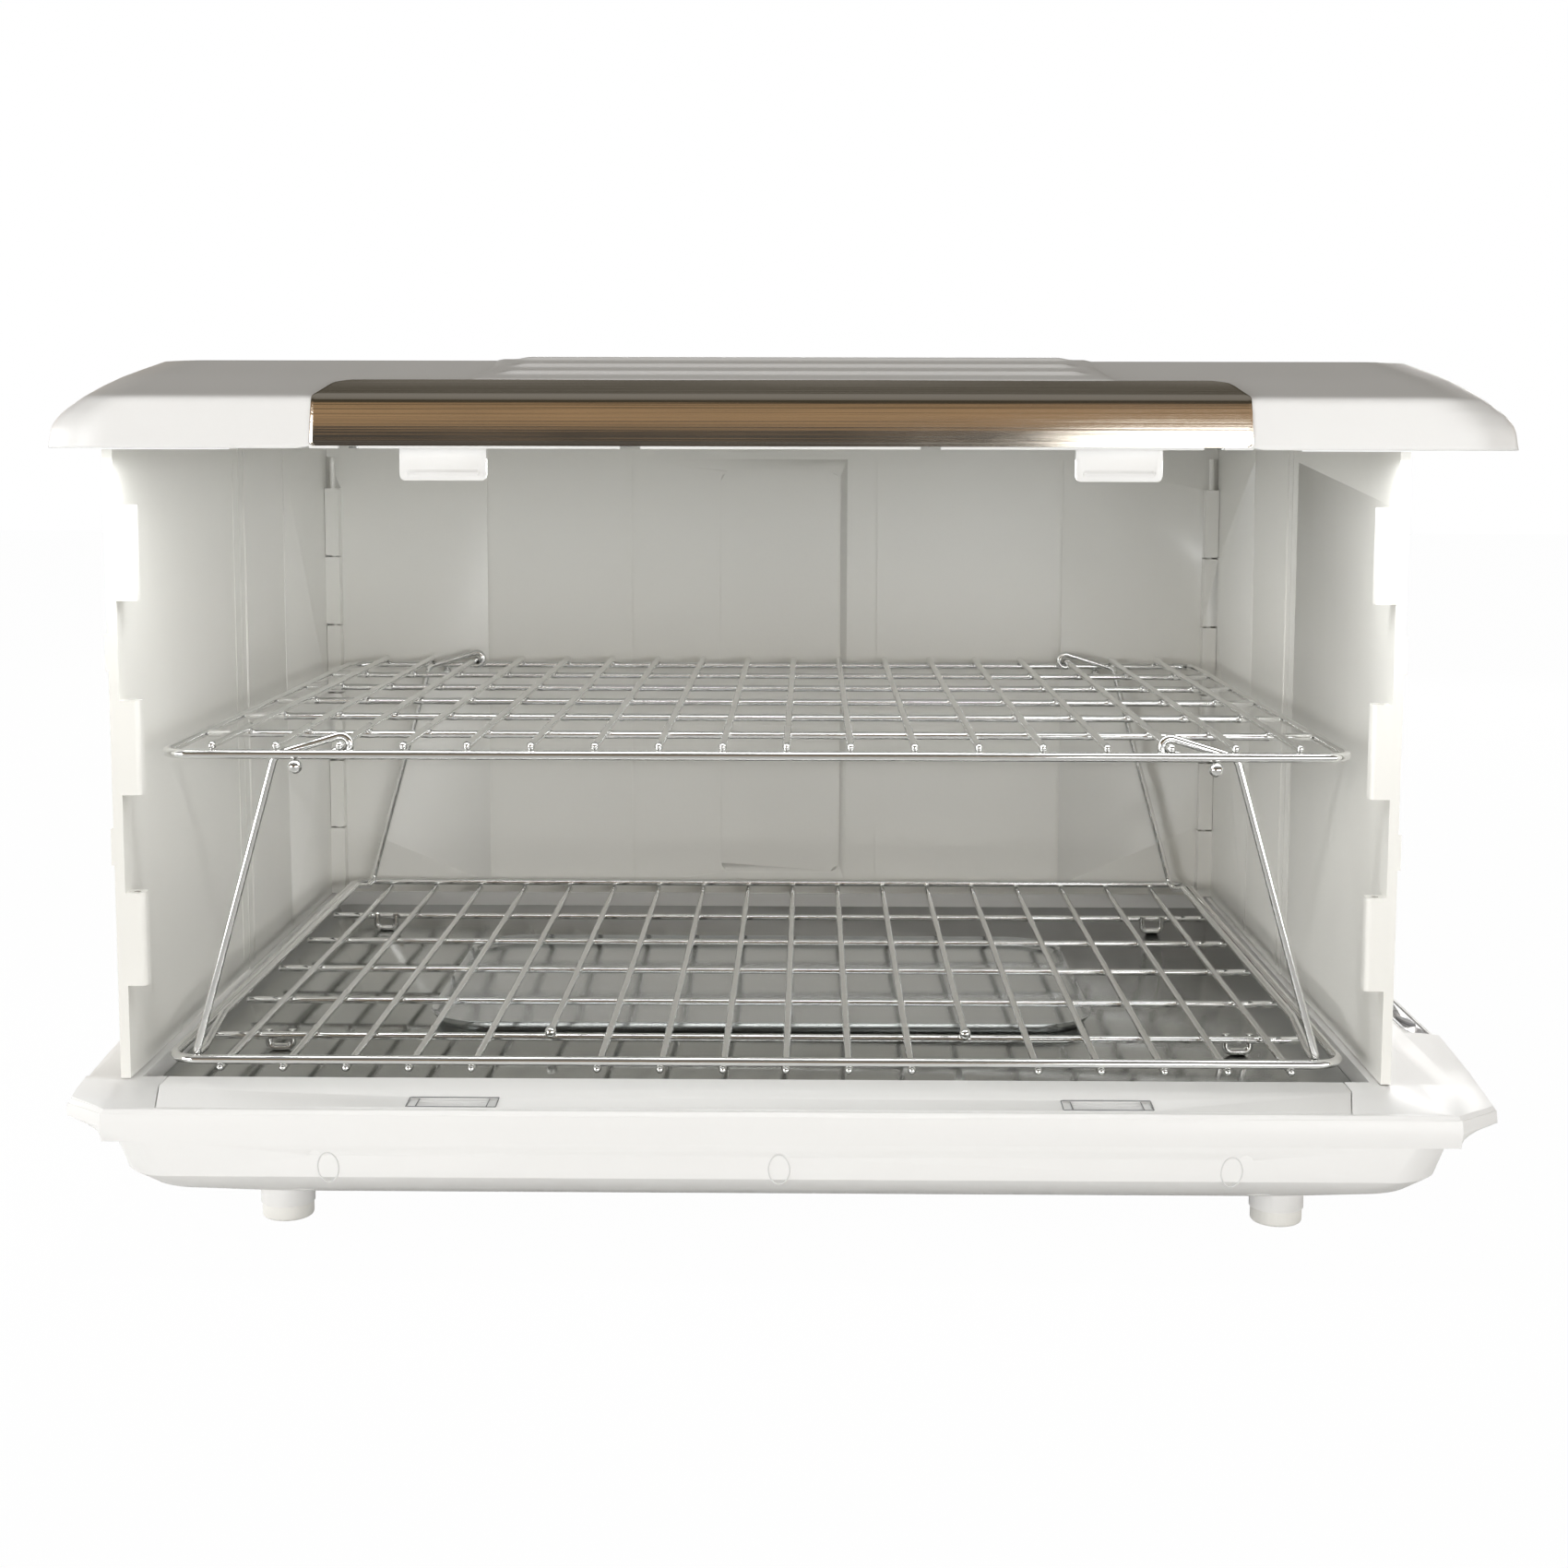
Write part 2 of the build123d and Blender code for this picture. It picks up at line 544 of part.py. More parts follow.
def front_rail():
    """Separate rail across the front, with the two latch slots."""
    z0 = RAIL_Z - RAIL_T
    rail = prism_x(rail_profile(z0), -BOW_X, BOW_X) & rail_outline(0, z0, RAIL_Z + 1)
    for side in (-1, 1):
        rail -= block(side * LATCH_X - LATCH_W / 2, side * LATCH_X + LATCH_W / 2,
                      LATCH_FRONT_Y, LATCH_BACK_Y, z0 - 1, RAIL_Z + 1)
    return rail


def latch_catches():
    """Catch in each latch slot: a sunk bar between two end blocks."""
    catches = []
    gap = 0.15
    z0 = RAIL_Z - RAIL_T
    for side in (-1, 1):
        x0 = side * LATCH_X - LATCH_W / 2 + gap
        x1 = side * LATCH_X + LATCH_W / 2 - gap
        catch = block(x0, x1, LATCH_FRONT_Y + gap, LATCH_BACK_Y - gap, z0, z0 + 0.5)
        catch += block(x0, x1, LATCH_BACK_Y - 2.6, LATCH_BACK_Y - gap, z0, z0 + 0.9)
        for x in (x0, x1 - 2.7):
            catch += block(x, x + 2.7, LATCH_FRONT_Y + gap, LATCH_BACK_Y - gap, z0, DECK_Z - 0.7)
        catches.append(catch)
    return catches


def heater_plate():
    """Aluminium floor of the chamber, lying on the ledge of the well."""
    gap = 0.3
    plate = block(CHAMBER_X - WELL_HALF + gap, CHAMBER_X + WELL_HALF - gap,
                  RAIL_BACK_Y + gap, WELL_BACK_Y - gap, LEDGE_Z, PLATE_Z)
    return fillet(plate.edges().filter_by(Axis.Z), 4)


def heating_element():
    """Serpentine heating rod pressed against the underside of the heater plate."""
    span = 2 * (WELL_HALF - LEDGE_W - ROD_MARGIN)
    depth = WELL_BACK_Y - RAIL_BACK_Y - 2 * (LEDGE_W + ROD_MARGIN)
    pitch = depth / (ROD_RUNS - 1)
    y0 = (WELL_BACK_Y + RAIL_BACK_Y - depth) / 2
    z = LEDGE_Z - ROD_R
    x0, x1 = CHAMBER_X - span / 2, CHAMBER_X + span / 2
    edges = []
    for run in range(ROD_RUNS):
        y = y0 + run * pitch
        start, end = (x0, x1) if run % 2 == 0 else (x1, x0)
        edges.append(Line((start, y, z), (end, y, z)))
        if run < ROD_RUNS - 1:
            bulge = pitch / 2 if run % 2 == 0 else -pitch / 2
            edges.append(ThreePointArc((end, y, z), (end + bulge, y + pitch / 2, z), (end, y + pitch, z)))
    path = Wire(edges)
    section = Plane(origin=(x0, y0, z), z_dir=(1, 0, 0)) * Circle(ROD_R)
    return sweep(section, path=path)


def heat_shield():
    """Sheet tray under the heater, whose front and back meet the underside of the ledge."""
    gap = 1.0
    x0 = CHAMBER_X - SHIELD_HALF
    x1 = CHAMBER_X + SHIELD_HALF
    z1 = LEDGE_Z - LEDGE_T
    z0 = LEDGE_Z - 2 * ROD_R - PAD_T - SHIELD_T
    y0, y1 = RAIL_BACK_Y + gap, WELL_BACK_Y - gap
    outer = block(x0, x1, y0, y1, z0, z1)
    return outer - block(x0 + SHIELD_T, x1 - SHIELD_T, y0 + SHIELD_T, y1 - SHIELD_T, z0 + SHIELD_T, z1 + 1)


def insulation_pad():
    """Insulating pad between the heating rod and the shield."""
    margin = LEDGE_W + 3.0
    half = SHIELD_HALF - 3.0
    z1 = LEDGE_Z - 2 * ROD_R
    return block(CHAMBER_X - half, CHAMBER_X + half,
                 RAIL_BACK_Y + margin, WELL_BACK_Y - margin, z1 - PAD_T, z1)


def temperature_sensor():
    """Sensor bead clipped to the underside of the heater plate."""
    z0 = LEDGE_Z - 2 * ROD_R
    body = block(CHAMBER_X - 6, CHAMBER_X + 6, RAIL_BACK_Y + 16, RAIL_BACK_Y + 22, z0, LEDGE_Z)
    return fillet(body.edges().filter_by(Axis.Y), 1.2)


def control_board():
    """Circuit board hung from the deck beside the well."""
    x = board_x()
    z1 = RIM_Z - BOARD_DROP
    board = block(x - BOARD_W / 2, x + BOARD_W / 2, -BOARD_L / 2, BOARD_L / 2, z1 - BOARD_T, z1)
    return fillet(board.edges().filter_by(Axis.Z), 1.5)


def display_module():
    """Display under the lens, touching the back of the bezel."""
    return facet_block(CONTROL_ROW - 0.5, BEZEL_T, BEZEL_T + 2.4, LENS_Y, LENS_W - 3.0, LENS_L - 4.0, 0.8)


def control_bezel():
    """Dark inlay of the control facet, open at the lens and the buttons."""
    bezel = facet_block(CONTROL_ROW, 0, BEZEL_T, 0, BEZEL_W, BEZEL_L, 3.0)
    bezel -= facet_block(CONTROL_ROW, -1, BEZEL_T / 2, LENS_Y, LENS_W, LENS_L, 1.6)
    bezel -= facet_block(CONTROL_ROW, -1, BEZEL_T + 1, LENS_Y, LENS_W - 1.6, LENS_L - 1.6, 1.0)
    for y in BUTTON_YS.values():
        hole = facet_frame(CONTROL_ROW, BEZEL_T + 1, y) * Circle(BUTTON_R + BUTTON_GAP)
        bezel -= extrude(hole, amount=BEZEL_T + 2, dir=FACET_NORMAL)
    return bezel


def display_lens():
    """Clear window let into the bezel."""
    gap = 0.1
    return facet_block(CONTROL_ROW, 0, BEZEL_T / 2, LENS_Y, LENS_W - 2 * gap, LENS_L - 2 * gap, 1.5)


def push_button(y):
    """Round push button with a shallow finger dish."""
    base = facet_frame(CONTROL_ROW, BUTTON_H - BUTTON_PROUD, y) * Circle(BUTTON_R)
    body = extrude(base, amount=BUTTON_H, dir=FACET_NORMAL)
    top = facet_point(CONTROL_ROW, -BUTTON_PROUD, y)
    body = fillet(body.edges().filter_by(GeomType.CIRCLE).sort_by_distance(top)[0], 0.5)
    dish_r = 18.0
    centre = facet_point(CONTROL_ROW, -BUTTON_PROUD - dish_r + 0.3, y)
    return body - Pos(*centre) * Sphere(dish_r)


def power_inlet():
    """Two-pin power inlet at the back of the pan."""
    z = inlet_height()
    y1 = HALF_D - 0.2
    body = block(INLET_X - INLET_W / 2, INLET_X + INLET_W / 2, y1 - INLET_DEPTH, y1,
                 z - INLET_H / 2, z + INLET_H / 2)
    for side in (-1, 1):
        body -= Pos(INLET_X + side * 4.0, y1 - 4.5, z) * Rot(90, 0, 0) * Cylinder(3.8, 9.02)
    body -= block(INLET_X - 4, INLET_X + 4, y1 - 9, y1 + 1, z - 2.6, z + 2.6)
    return body


def inlet_pins():
    """Contact pins of the power inlet."""
    z = inlet_height()
    y1 = HALF_D - 0.2
    return [rod_y(INLET_X + side * 4.0, y1 - 9.0, y1 - 1.2, z, 1.2) for side in (-1, 1)]


def water_tray():
    """Shallow round-cornered tray on the middle of the heater plate."""
    floor = Pos(CHAMBER_X, 0, PLATE_Z) * RectangleRounded(TRAY_W - 6, TRAY_D - 6, TRAY_CORNER - 3)
    mouth = Pos(CHAMBER_X, 0, PLATE_Z + TRAY_H) * RectangleRounded(TRAY_W, TRAY_D, TRAY_CORNER)
    outer = loft([floor, mouth], ruled=True)
    low = Pos(CHAMBER_X, 0, PLATE_Z + TRAY_T) * RectangleRounded(
        TRAY_W - 6 - 2 * TRAY_T, TRAY_D - 6 - 2 * TRAY_T, TRAY_CORNER - 4)
    high = Pos(CHAMBER_X, 0, PLATE_Z + TRAY_H + 0.01) * RectangleRounded(
        TRAY_W - 2 * TRAY_T, TRAY_D - 2 * TRAY_T, TRAY_CORNER - 1)
    return outer - loft([low, high], ruled=True)


# ---- racks --------------------------------------------------------------------------
def rack_frame(z):
    """Round-cornered wire frame of a rack."""
    path = Pos(CHAMBER_X, 0, z) * RectangleRounded(RACK_W, RACK_D, RACK_CORNER).wire()
    start = path @ 0
    section = Plane(origin=start, z_dir=path % 0) * Circle(FRAME_R)
    return sweep(section, path=path)


def wire_x(index):
    """Place of a front-to-back wire, counted from the left."""
    return CHAMBER_X + (index - (WIRE_COUNT - 1) / 2) * WIRE_PITCH


def cross_y(index):
    """Place of a cross wire, counted from the front."""
    return RACK_FRONT_Y + (index + 1) * CROSS_PITCH


def rack_wires(z, short=()):
    """Front-to-back wires, some of which may stop at the first cross wire."""
    wires = []
    reach = RACK_D / 2 + FRAME_R / 2
    for index in range(WIRE_COUNT):
        y0 = cross_y(0) - WIRE_R if index in short else -reach
        wires.append(rod_y(wire_x(index), y0, reach, z, WIRE_R))
    return wires


def rack_cross_wires(z, half):
    """Cross wires under the front-to-back wires."""
    return [rod_x(CHAMBER_X - half, CHAMBER_X + half, cross_y(i), z, WIRE_R) for i in range(CROSS_COUNT)]


def wire_end_balls():
    """Balls on the ends of the shorter wires of the lower rack."""
    y = cross_y(0) - WIRE_R - BALL_R
    return [Pos(wire_x(i), y, LOWER_WIRE_Z) * Sphere(BALL_R) for i in SHORT_WIRES]


def rack_feet():
    """Bent wire feet that stand the lower rack on the heater plate."""
    feet = []
    drop = LOWER_CROSS_Z - WIRE_R - PLATE_Z
    reach = 8.0
    bend = 2.0
    z0 = PLATE_Z + RACK_FOOT_R
    for row in (0, CROSS_COUNT - 1):
        y = cross_y(row) + (WIRE_R + RACK_FOOT_R + 0.02) * (1 if row == 0 else -1)
        for side in (-1, 1):
            x = CHAMBER_X + side * (WIRE_PITCH * (WIRE_COUNT - 1) / 2 - 3.2)
            points = [(x, y, z0 + drop + 1.4), (x, y, z0), (x - side * reach, y, z0),
                      (x - side * reach, y, z0 + drop + 1.4)]
            path = FilletPolyline(points, radius=bend)
            section = Plane(origin=points[0], z_dir=(0, 0, -1)) * Circle(RACK_FOOT_R)
            feet.append(sweep(section, path=path))
    return feet


def detent_balls():
    """Balls under the shelf's frame, beside the knees of the legs."""
    out = 0.8
    reach = FRAME_R + DETENT_R
    z = SHELF_FRAME_Z - (reach ** 2 - out ** 2) ** 0.5
    balls = []
    for sx in (-1, 1):
        for sy in (-1, 1):
            balls.append(Pos(CHAMBER_X + sx * DETENT_X, sy * (RACK_D / 2 + out), z) * Sphere(DETENT_R))
    return balls


def leg_wire():
    """Left leg: a hook round a shelf wire at each end, arms, knees, feet and a bar."""
    hook_x = wire_x(LEG_HOOK_WIRE)
    knee_x = CHAMBER_X - KNEE_X
    knee_z = SHELF_WIRE_Z - KNEE_DROP
    reach = hypot(knee_x - hook_x, knee_z - SHELF_WIRE_Z)
    toward = degrees(atan2(knee_z - SHELF_WIRE_Z, knee_x - hook_x))
    lean = degrees(atan2(HOOK_R, (reach ** 2 - HOOK_R ** 2) ** 0.5))
    leave = radians(toward + lean - 90)
    turn = 265.0
    foot_x = CHAMBER_X - LEG_FOOT_X

    def on_hook(angle, y):
        return (hook_x + HOOK_R * cos(angle), y, SHELF_WIRE_Z + HOOK_R * sin(angle))

    def hook(y):
        points = [on_hook(leave - radians(turn) * part, y) for part in (1, 0.5, 0)]
        return ThreePointArc(*points)

    y = LEG_Y
    low_y = LEG_FOOT_Y
    near = [on_hook(leave, -y), (knee_x, -y, knee_z), (foot_x, -low_y, LEG_FOOT_Z),
            (foot_x, -low_y + LEG_FOOT_L, LEG_FOOT_Z), (foot_x, -low_y + LEG_FOOT_L + LEG_RISE_L, LEG_BAR_Z)]
    far = [(px, -py, pz) for px, py, pz in near[::-1]]
    bends = [KNEE_BEND, FOOT_BEND, BAR_BEND, BAR_BEND]
    run = FilletPolyline(near + far, radius=bends + bends[::-1])
    path = Wire(hook(-y).edges() + run.edges() + hook(y).edges())
    section = Plane(origin=path @ 0, z_dir=path % 0) * Circle(LEG_R)
    return sweep(section, path=path)


# ---- walls --------------------------------------------------------------------------
def fold_axis():
    """X and Y of the left fold pin, just outside the wall."""
    return CHAMBER_X - HALF_W - WALL_T - HINGE_R - 0.3, FOLD_Y


def fold_barrels(which, side):
    """Barrels of one half of the left fold, with the webs that join them to its panel."""
    x, y = fold_axis()
    z0, z1 = SWING_Z0 + 1.0, SWING_Z1 - 1.0
    pitch = (z1 - z0) / FOLD_KNUCKLES
    face_x = CHAMBER_X - HALF_W - WALL_T
    barrels = []
    for index in range(FOLD_KNUCKLES):
        if index % 2 != which:
            continue
        low = z0 + index * pitch + PANEL_GAP / 2
        high = z0 + (index + 1) * pitch - PANEL_GAP / 2
        barrel = upright(x, y, low, high, HINGE_R)
        web = [(x, y - side * HINGE_R, low), (face_x + 0.3, y - side * 9, low),
               (face_x + 0.3, y - side * PANEL_GAP, low), (x, y - side * PANEL_GAP, low)]
        barrel += extrude(make_face(Polyline(web, close=True)), amount=high - low, dir=(0, 0, 1))
        barrel -= upright(x, y, low - 1, high + 1, HINGE_PIN_R + PIN_FIT)
        barrels.append(barrel)
    return barrels


def corner_blocks(x, y, step):
    """Three hinge blocks up one corner, each with a bore for an upright pin."""
    blocks = []
    for index in range(3):
        high = DECK_Z + KNUCKLE_TOP - index * KNUCKLE_PITCH + step
        low = high - KNUCKLE_H
        body = block(x - KNUCKLE / 2, x + KNUCKLE / 2, y - KNUCKLE / 2, y + KNUCKLE / 2, low, high)
        blocks.append(body)
    return blocks


def swing_wall():
    """Front half of the left wall, with its barrels and its free-edge blocks."""
    x1 = CHAMBER_X - HALF_W
    x0 = x1 - WALL_T
    wall = block(x0, x1, WALL_FRONT_Y, FOLD_Y - PANEL_GAP, SWING_Z0, SWING_Z1)
    for barrel in fold_barrels(0, 1):
        wall += barrel
    bore_x = x1 + KNUCKLE / 2
    bore_y = WALL_FRONT_Y + KNUCKLE / 2
    for body in corner_blocks(bore_x, bore_y, 0):
        rounded = fillet(body.edges().filter_by(Axis.Z).group_by(Axis.X)[-1], 1.6)
        wall += rounded + Pos(-0.5, 0, 0) * rounded
    for index in range(3):
        high = DECK_Z + KNUCKLE_TOP - index * KNUCKLE_PITCH
        wall -= upright(bore_x, bore_y, high - KNUCKLE_H - 1, high + 1, HINGE_PIN_R + PIN_FIT)
    for index in range(2):
        high = DECK_Z + KNUCKLE_TOP - KNUCKLE_H - 10.2 - index * (KNUCKLE_PITCH + 0.5)
        wall += block(x0 - EDGE_PAD_PROUD, x0 + 0.5, WALL_FRONT_Y, WALL_FRONT_Y + 5, high - EDGE_PAD_H, high)
    line_y = FOLD_Y - FOLD_LINE - 1.0
    wall -= block(x1 - LINE_DEPTH, x1 + 1, line_y, line_y + 1.0, SWING_Z0 + 4, SWING_Z1 - 4)
    return wall


def fixed_wall():
    """Rear half of the left wall, standing in the deck's groove."""
    x1 = CHAMBER_X - HALF_W
    x0 = x1 - WALL_T
    y1 = WALL_BACK_Y - 0.2
    wall = block(x0, x1, FOLD_Y + PANEL_GAP, y1, FIXED_Z0, FIXED_Z1)
    for barrel in fold_barrels(1, -1):
        wall += barrel
    for body in corner_blocks(x1 + KNUCKLE / 2 + 0.2, y1 - KNUCKLE / 2, -KNUCKLE_PITCH / 2):
        wall += body + Pos(-0.8, 0, 0) * body
    x, y = corner_axis()
    wall -= upright(x, y, DECK_Z, LID_Z, HINGE_PIN_R + PIN_FIT)
    for line_y in (FOLD_Y + FOLD_LINE, FOLD_Y + SIDE_LINE):
        wall -= block(x1 - LINE_DEPTH, x1 + 1, line_y, line_y + 1.0, DECK_Z + 4, SWING_Z1 - 4)
    return wall


def corner_axis():
    """X and Y of the left rear corner pin."""
    return CHAMBER_X - HALF_W + KNUCKLE / 2 + 0.2, WALL_BACK_Y - KNUCKLE / 2 - 0.2


def back_wall():
    """Back wall with its corner blocks, an outlined panel, a low rib and fine lines."""
    half = HALF_W + WALL_T
    wall = block(CHAMBER_X - half, CHAMBER_X + half, WALL_BACK_Y, WALL_BACK_Y + WALL_T, FIXED_Z0, FIXED_Z1)
    x, y = corner_axis()
    for body in corner_blocks(x, y, 0):
        wall += body + Pos(0, 0.6, 0) * body
        wall += mirrored(body + Pos(0, 0.6, 0) * body)
    wall -= upright(x, y, DECK_Z, LID_Z, HINGE_PIN_R + PIN_FIT)
    wall -= upright(2 * CHAMBER_X - x, y, DECK_Z, LID_Z, HINGE_PIN_R + PIN_FIT)
    middle = Plane.XZ.offset(-WALL_BACK_Y) * Pos(CHAMBER_X + 4, (DECK_Z + LID_Z) / 2)
    panel = middle * RectangleRounded(PANEL_W, CHAMBER_H - 2 * PANEL_MARGIN, 4)
    inner = middle * RectangleRounded(PANEL_W - 1.4, CHAMBER_H - 2 * PANEL_MARGIN - 1.4, 3.3)
    wall -= extrude(panel - inner, amount=-LINE_DEPTH)
    for line_x in BACK_LINES:
        wall -= block(CHAMBER_X + line_x, CHAMBER_X + line_x + 0.9, WALL_BACK_Y - 1, WALL_BACK_Y + LINE_DEPTH,
                      DECK_Z + 4, SWING_Z1 - 4)
    rib_x = CHAMBER_X + BACK_RIB_X
    wall += block(rib_x - BACK_RIB_W / 2, rib_x + BACK_RIB_W / 2, WALL_BACK_Y - LINE_DEPTH, WALL_BACK_Y + 0.2,
                  DECK_Z + 4, SWING_Z1 - 4)
    return wall


def fold_pin():
    """Pin of the left fold."""
    x, y = fold_axis()
    return upright(x, y, SWING_Z0 + 0.6, SWING_Z1 - 0.6, HINGE_PIN_R)


def corner_pin():
    """Pin of the left rear corner."""
    x, y = corner_axis()
    return upright(x, y, DECK_Z + 4, LID_Z - 4, HINGE_PIN_R)


# ---- lid ----------------------------------------------------------------------------
def face_back(z):
    """How far the lid's front face stands back at a height."""
    return LID_BACK + LID_FACE_LEAN * (z - LID_Z) / LID_FACE_H


def lid_form(inset, z0):
    """Closed form of the lid: upright face, sloping facets and ends that draw in."""
    face_z = LID_Z + LID_FACE_H
    low = LID_Z + 0.43 * LID_FACE_H
    mid = LID_Z + 0.68 * LID_FACE_H
    top_end = face_back(face_z) + LID_FACET_D
    sections = [
        plan(z0, inset, face_back(z0) + inset),
        plan(low, 1.0 + inset, face_back(low) + inset),
        plan(mid, 4.0 + inset, face_back(mid) + inset),
        plan(face_z - inset / 2, LID_SHOULDER + inset, face_back(face_z) + inset),
        plan(LID_TOP_Z - inset, LID_END_SLOPE + inset, top_end + inset),
    ]
    return loft(sections, ruled=True)


def lid_shell():
    """Hollow lid, with small notches in its front edge."""
    shell = lid_form(0, LID_Z) - lid_form(LID_T, LID_Z - 0.01)
    for x in LIP_NOTCH_XS:
        shell -= block(x - LIP_NOTCH_W / 2, x + LIP_NOTCH_W / 2, -HALF_D - 1, -HALF_D + 2 * LID_T,
                       LID_Z - 1, LID_Z + TRIM_LIFT)
    return shell


def trim_plate():
    """Bright trim folded over the front face and the lower part of the facet."""
    face_z = LID_Z + LID_FACE_H
    slope = (LID_H - LID_FACE_H) / LID_FACET_D
    y0 = -HALF_D + face_back(LID_Z + TRIM_LIFT)
    y1 = -HALF_D + face_back(face_z)
    y2 = y1 + TRIM_FACET_D
    z2 = face_z + slope * TRIM_FACET_D
    inner = [(y0, LID_Z + TRIM_LIFT), (y1, face_z), (y2, z2)]
    outer = [(y2, z2 + TRIM_T), (y1 - 0.35 * TRIM_T, face_z + TRIM_T), (y1 - TRIM_T, face_z),
             (y0 - TRIM_T, LID_Z + TRIM_LIFT)]
    strip = prism_x(inner + outer, -TRIM_HALF, TRIM_HALF)
    front = []
    for side in (-1, 1):
        front.append([(side * TRIM_HALF, LID_Z), (side * (TRIM_HALF - 0.8), face_z),
                      (side * (TRIM_HALF - TRIM_CORNER), z2 + 2)])
    mask = prism_y(front[0] + front[1][::-1], -HALF_D - 2, -HALF_D + 2 * TRIM_FACET_D)
    return strip & mask


def lid_ribs():
    """Low ribs across the middle of the lid, over the facet and on to the flat top."""
    face_z = LID_Z + LID_FACE_H
    slope = (LID_H - LID_FACE_H) / LID_FACET_D
    y_face = -HALF_D + face_back(face_z)
    ribs = []
    for index in range(FACET_RIBS + TOP_RIBS):
        y = y_face + TRIM_FACET_D + 4.5 + index * RIB_PITCH
        half = RIB_HALF - 1.6 * index
        on_top = y - RIB_W / 2 > y_face + LID_FACET_D
        if not on_top and y + RIB_W / 2 > y_face + LID_FACET_D:
            continue
        lows = []
        for edge in (y - RIB_W / 2, y + RIB_W / 2):
            lows.append(LID_TOP_Z if on_top else face_z + slope * (edge - y_face))
        points = [(y - RIB_W / 2, lows[0]), (y + RIB_W / 2, lows[1]),
                  (y + RIB_W / 4, lows[1] + RIB_H), (y - RIB_W / 4, lows[0] + RIB_H)]
        ribs.append(prism_x(points, -half, half))
    return ribs


def lid_liner():
    """Liner that closes the lid and holds a channel for the tops of the fixed walls."""
    gap = 0.2
    z1 = LINER_Z + LINER_T
    liner = loft([plan(LINER_Z, LID_T + gap + 0.2, face_back(LINER_Z) + LID_T + gap),
                  plan(z1, LID_T + gap + 0.4, face_back(z1) + LID_T + gap)], ruled=True)
    x = HALF_W - GROOVE_GAP
    t = WALL_T + 2 * GROOVE_GAP
    rail = 1.6
    y0 = FOLD_Y
    y1 = WALL_BACK_Y + WALL_T + GROOVE_GAP
    z_top = LINER_Z + CHANNEL_DEPTH
    side = block(CHAMBER_X - x - t - rail, CHAMBER_X - x + rail, y0 - rail, y1 + rail,
                 LINER_Z + 0.5, z_top + rail)
    back = block(CHAMBER_X - x - t - rail, CHAMBER_X + x + t + rail, WALL_BACK_Y - GROOVE_GAP - rail,
                 y1 + rail, LINER_Z + 0.5, z_top + rail)
    liner += side + mirrored(side) + back
    side = block(CHAMBER_X - x - t, CHAMBER_X - x, y0, y1, LINER_Z - 1, z_top)
    back = block(CHAMBER_X - x - t, CHAMBER_X + x + t, WALL_BACK_Y - GROOVE_GAP, y1, LINER_Z - 1, z_top)
    liner -= side + mirrored(side) + back
    for tab_side in (-1, 1):
        liner -= block(tab_side * LATCH_X - TAB_W / 2 - gap, tab_side * LATCH_X + TAB_W / 2 + gap,
                       TAB_Y - TAB_T / 2 - gap, TAB_Y + TAB_T / 2 + gap, LINER_Z - 1, z1 + 1)
    return liner


def lid_tab(x):
    """Tab that hangs under the lid's front edge and clips into a latch slot."""
    z0 = LID_Z - TAB_DROP
    z1 = LINER_Z + LINER_T
    blade = block(x - TAB_W / 2, x + TAB_W / 2, TAB_Y - TAB_T / 2, TAB_Y + TAB_T / 2, z0, z1 + 3)
    blade = fillet(blade.edges().filter_by(Axis.Y).group_by(Axis.Z)[0], 1.8)
    head = block(x - TAB_W / 2 - 2, x + TAB_W / 2 + 2, TAB_Y - TAB_T / 2 - 1.2, TAB_Y + TAB_T / 2 + 2,
                 z1, z1 + 3)
    bead = prism_x([(TAB_Y - TAB_T / 2 + 0.1, z0 + 1.4), (TAB_Y - TAB_T / 2 - 0.8, z0 + 2.4),
                    (TAB_Y - TAB_T / 2 + 0.1, z0 + 3.4)], x - TAB_W / 2 + 2.4, x + TAB_W / 2 - 2.4)
    return blade + head + bead


def lid_screws():
    """Screws that hold the liner up to bosses in the lid."""
    screws = []
    half = HALF_W - LID_SCREW_INSET
    for x in (-half, 0.0, half):
        for y in (LID_SCREW_BACK - HALF_D, HALF_D - LID_SCREW_BACK):
            screws.append(upright(x, y, LINER_Z - 0.6, LINER_Z, SCREW_HEAD_R))
    return screws


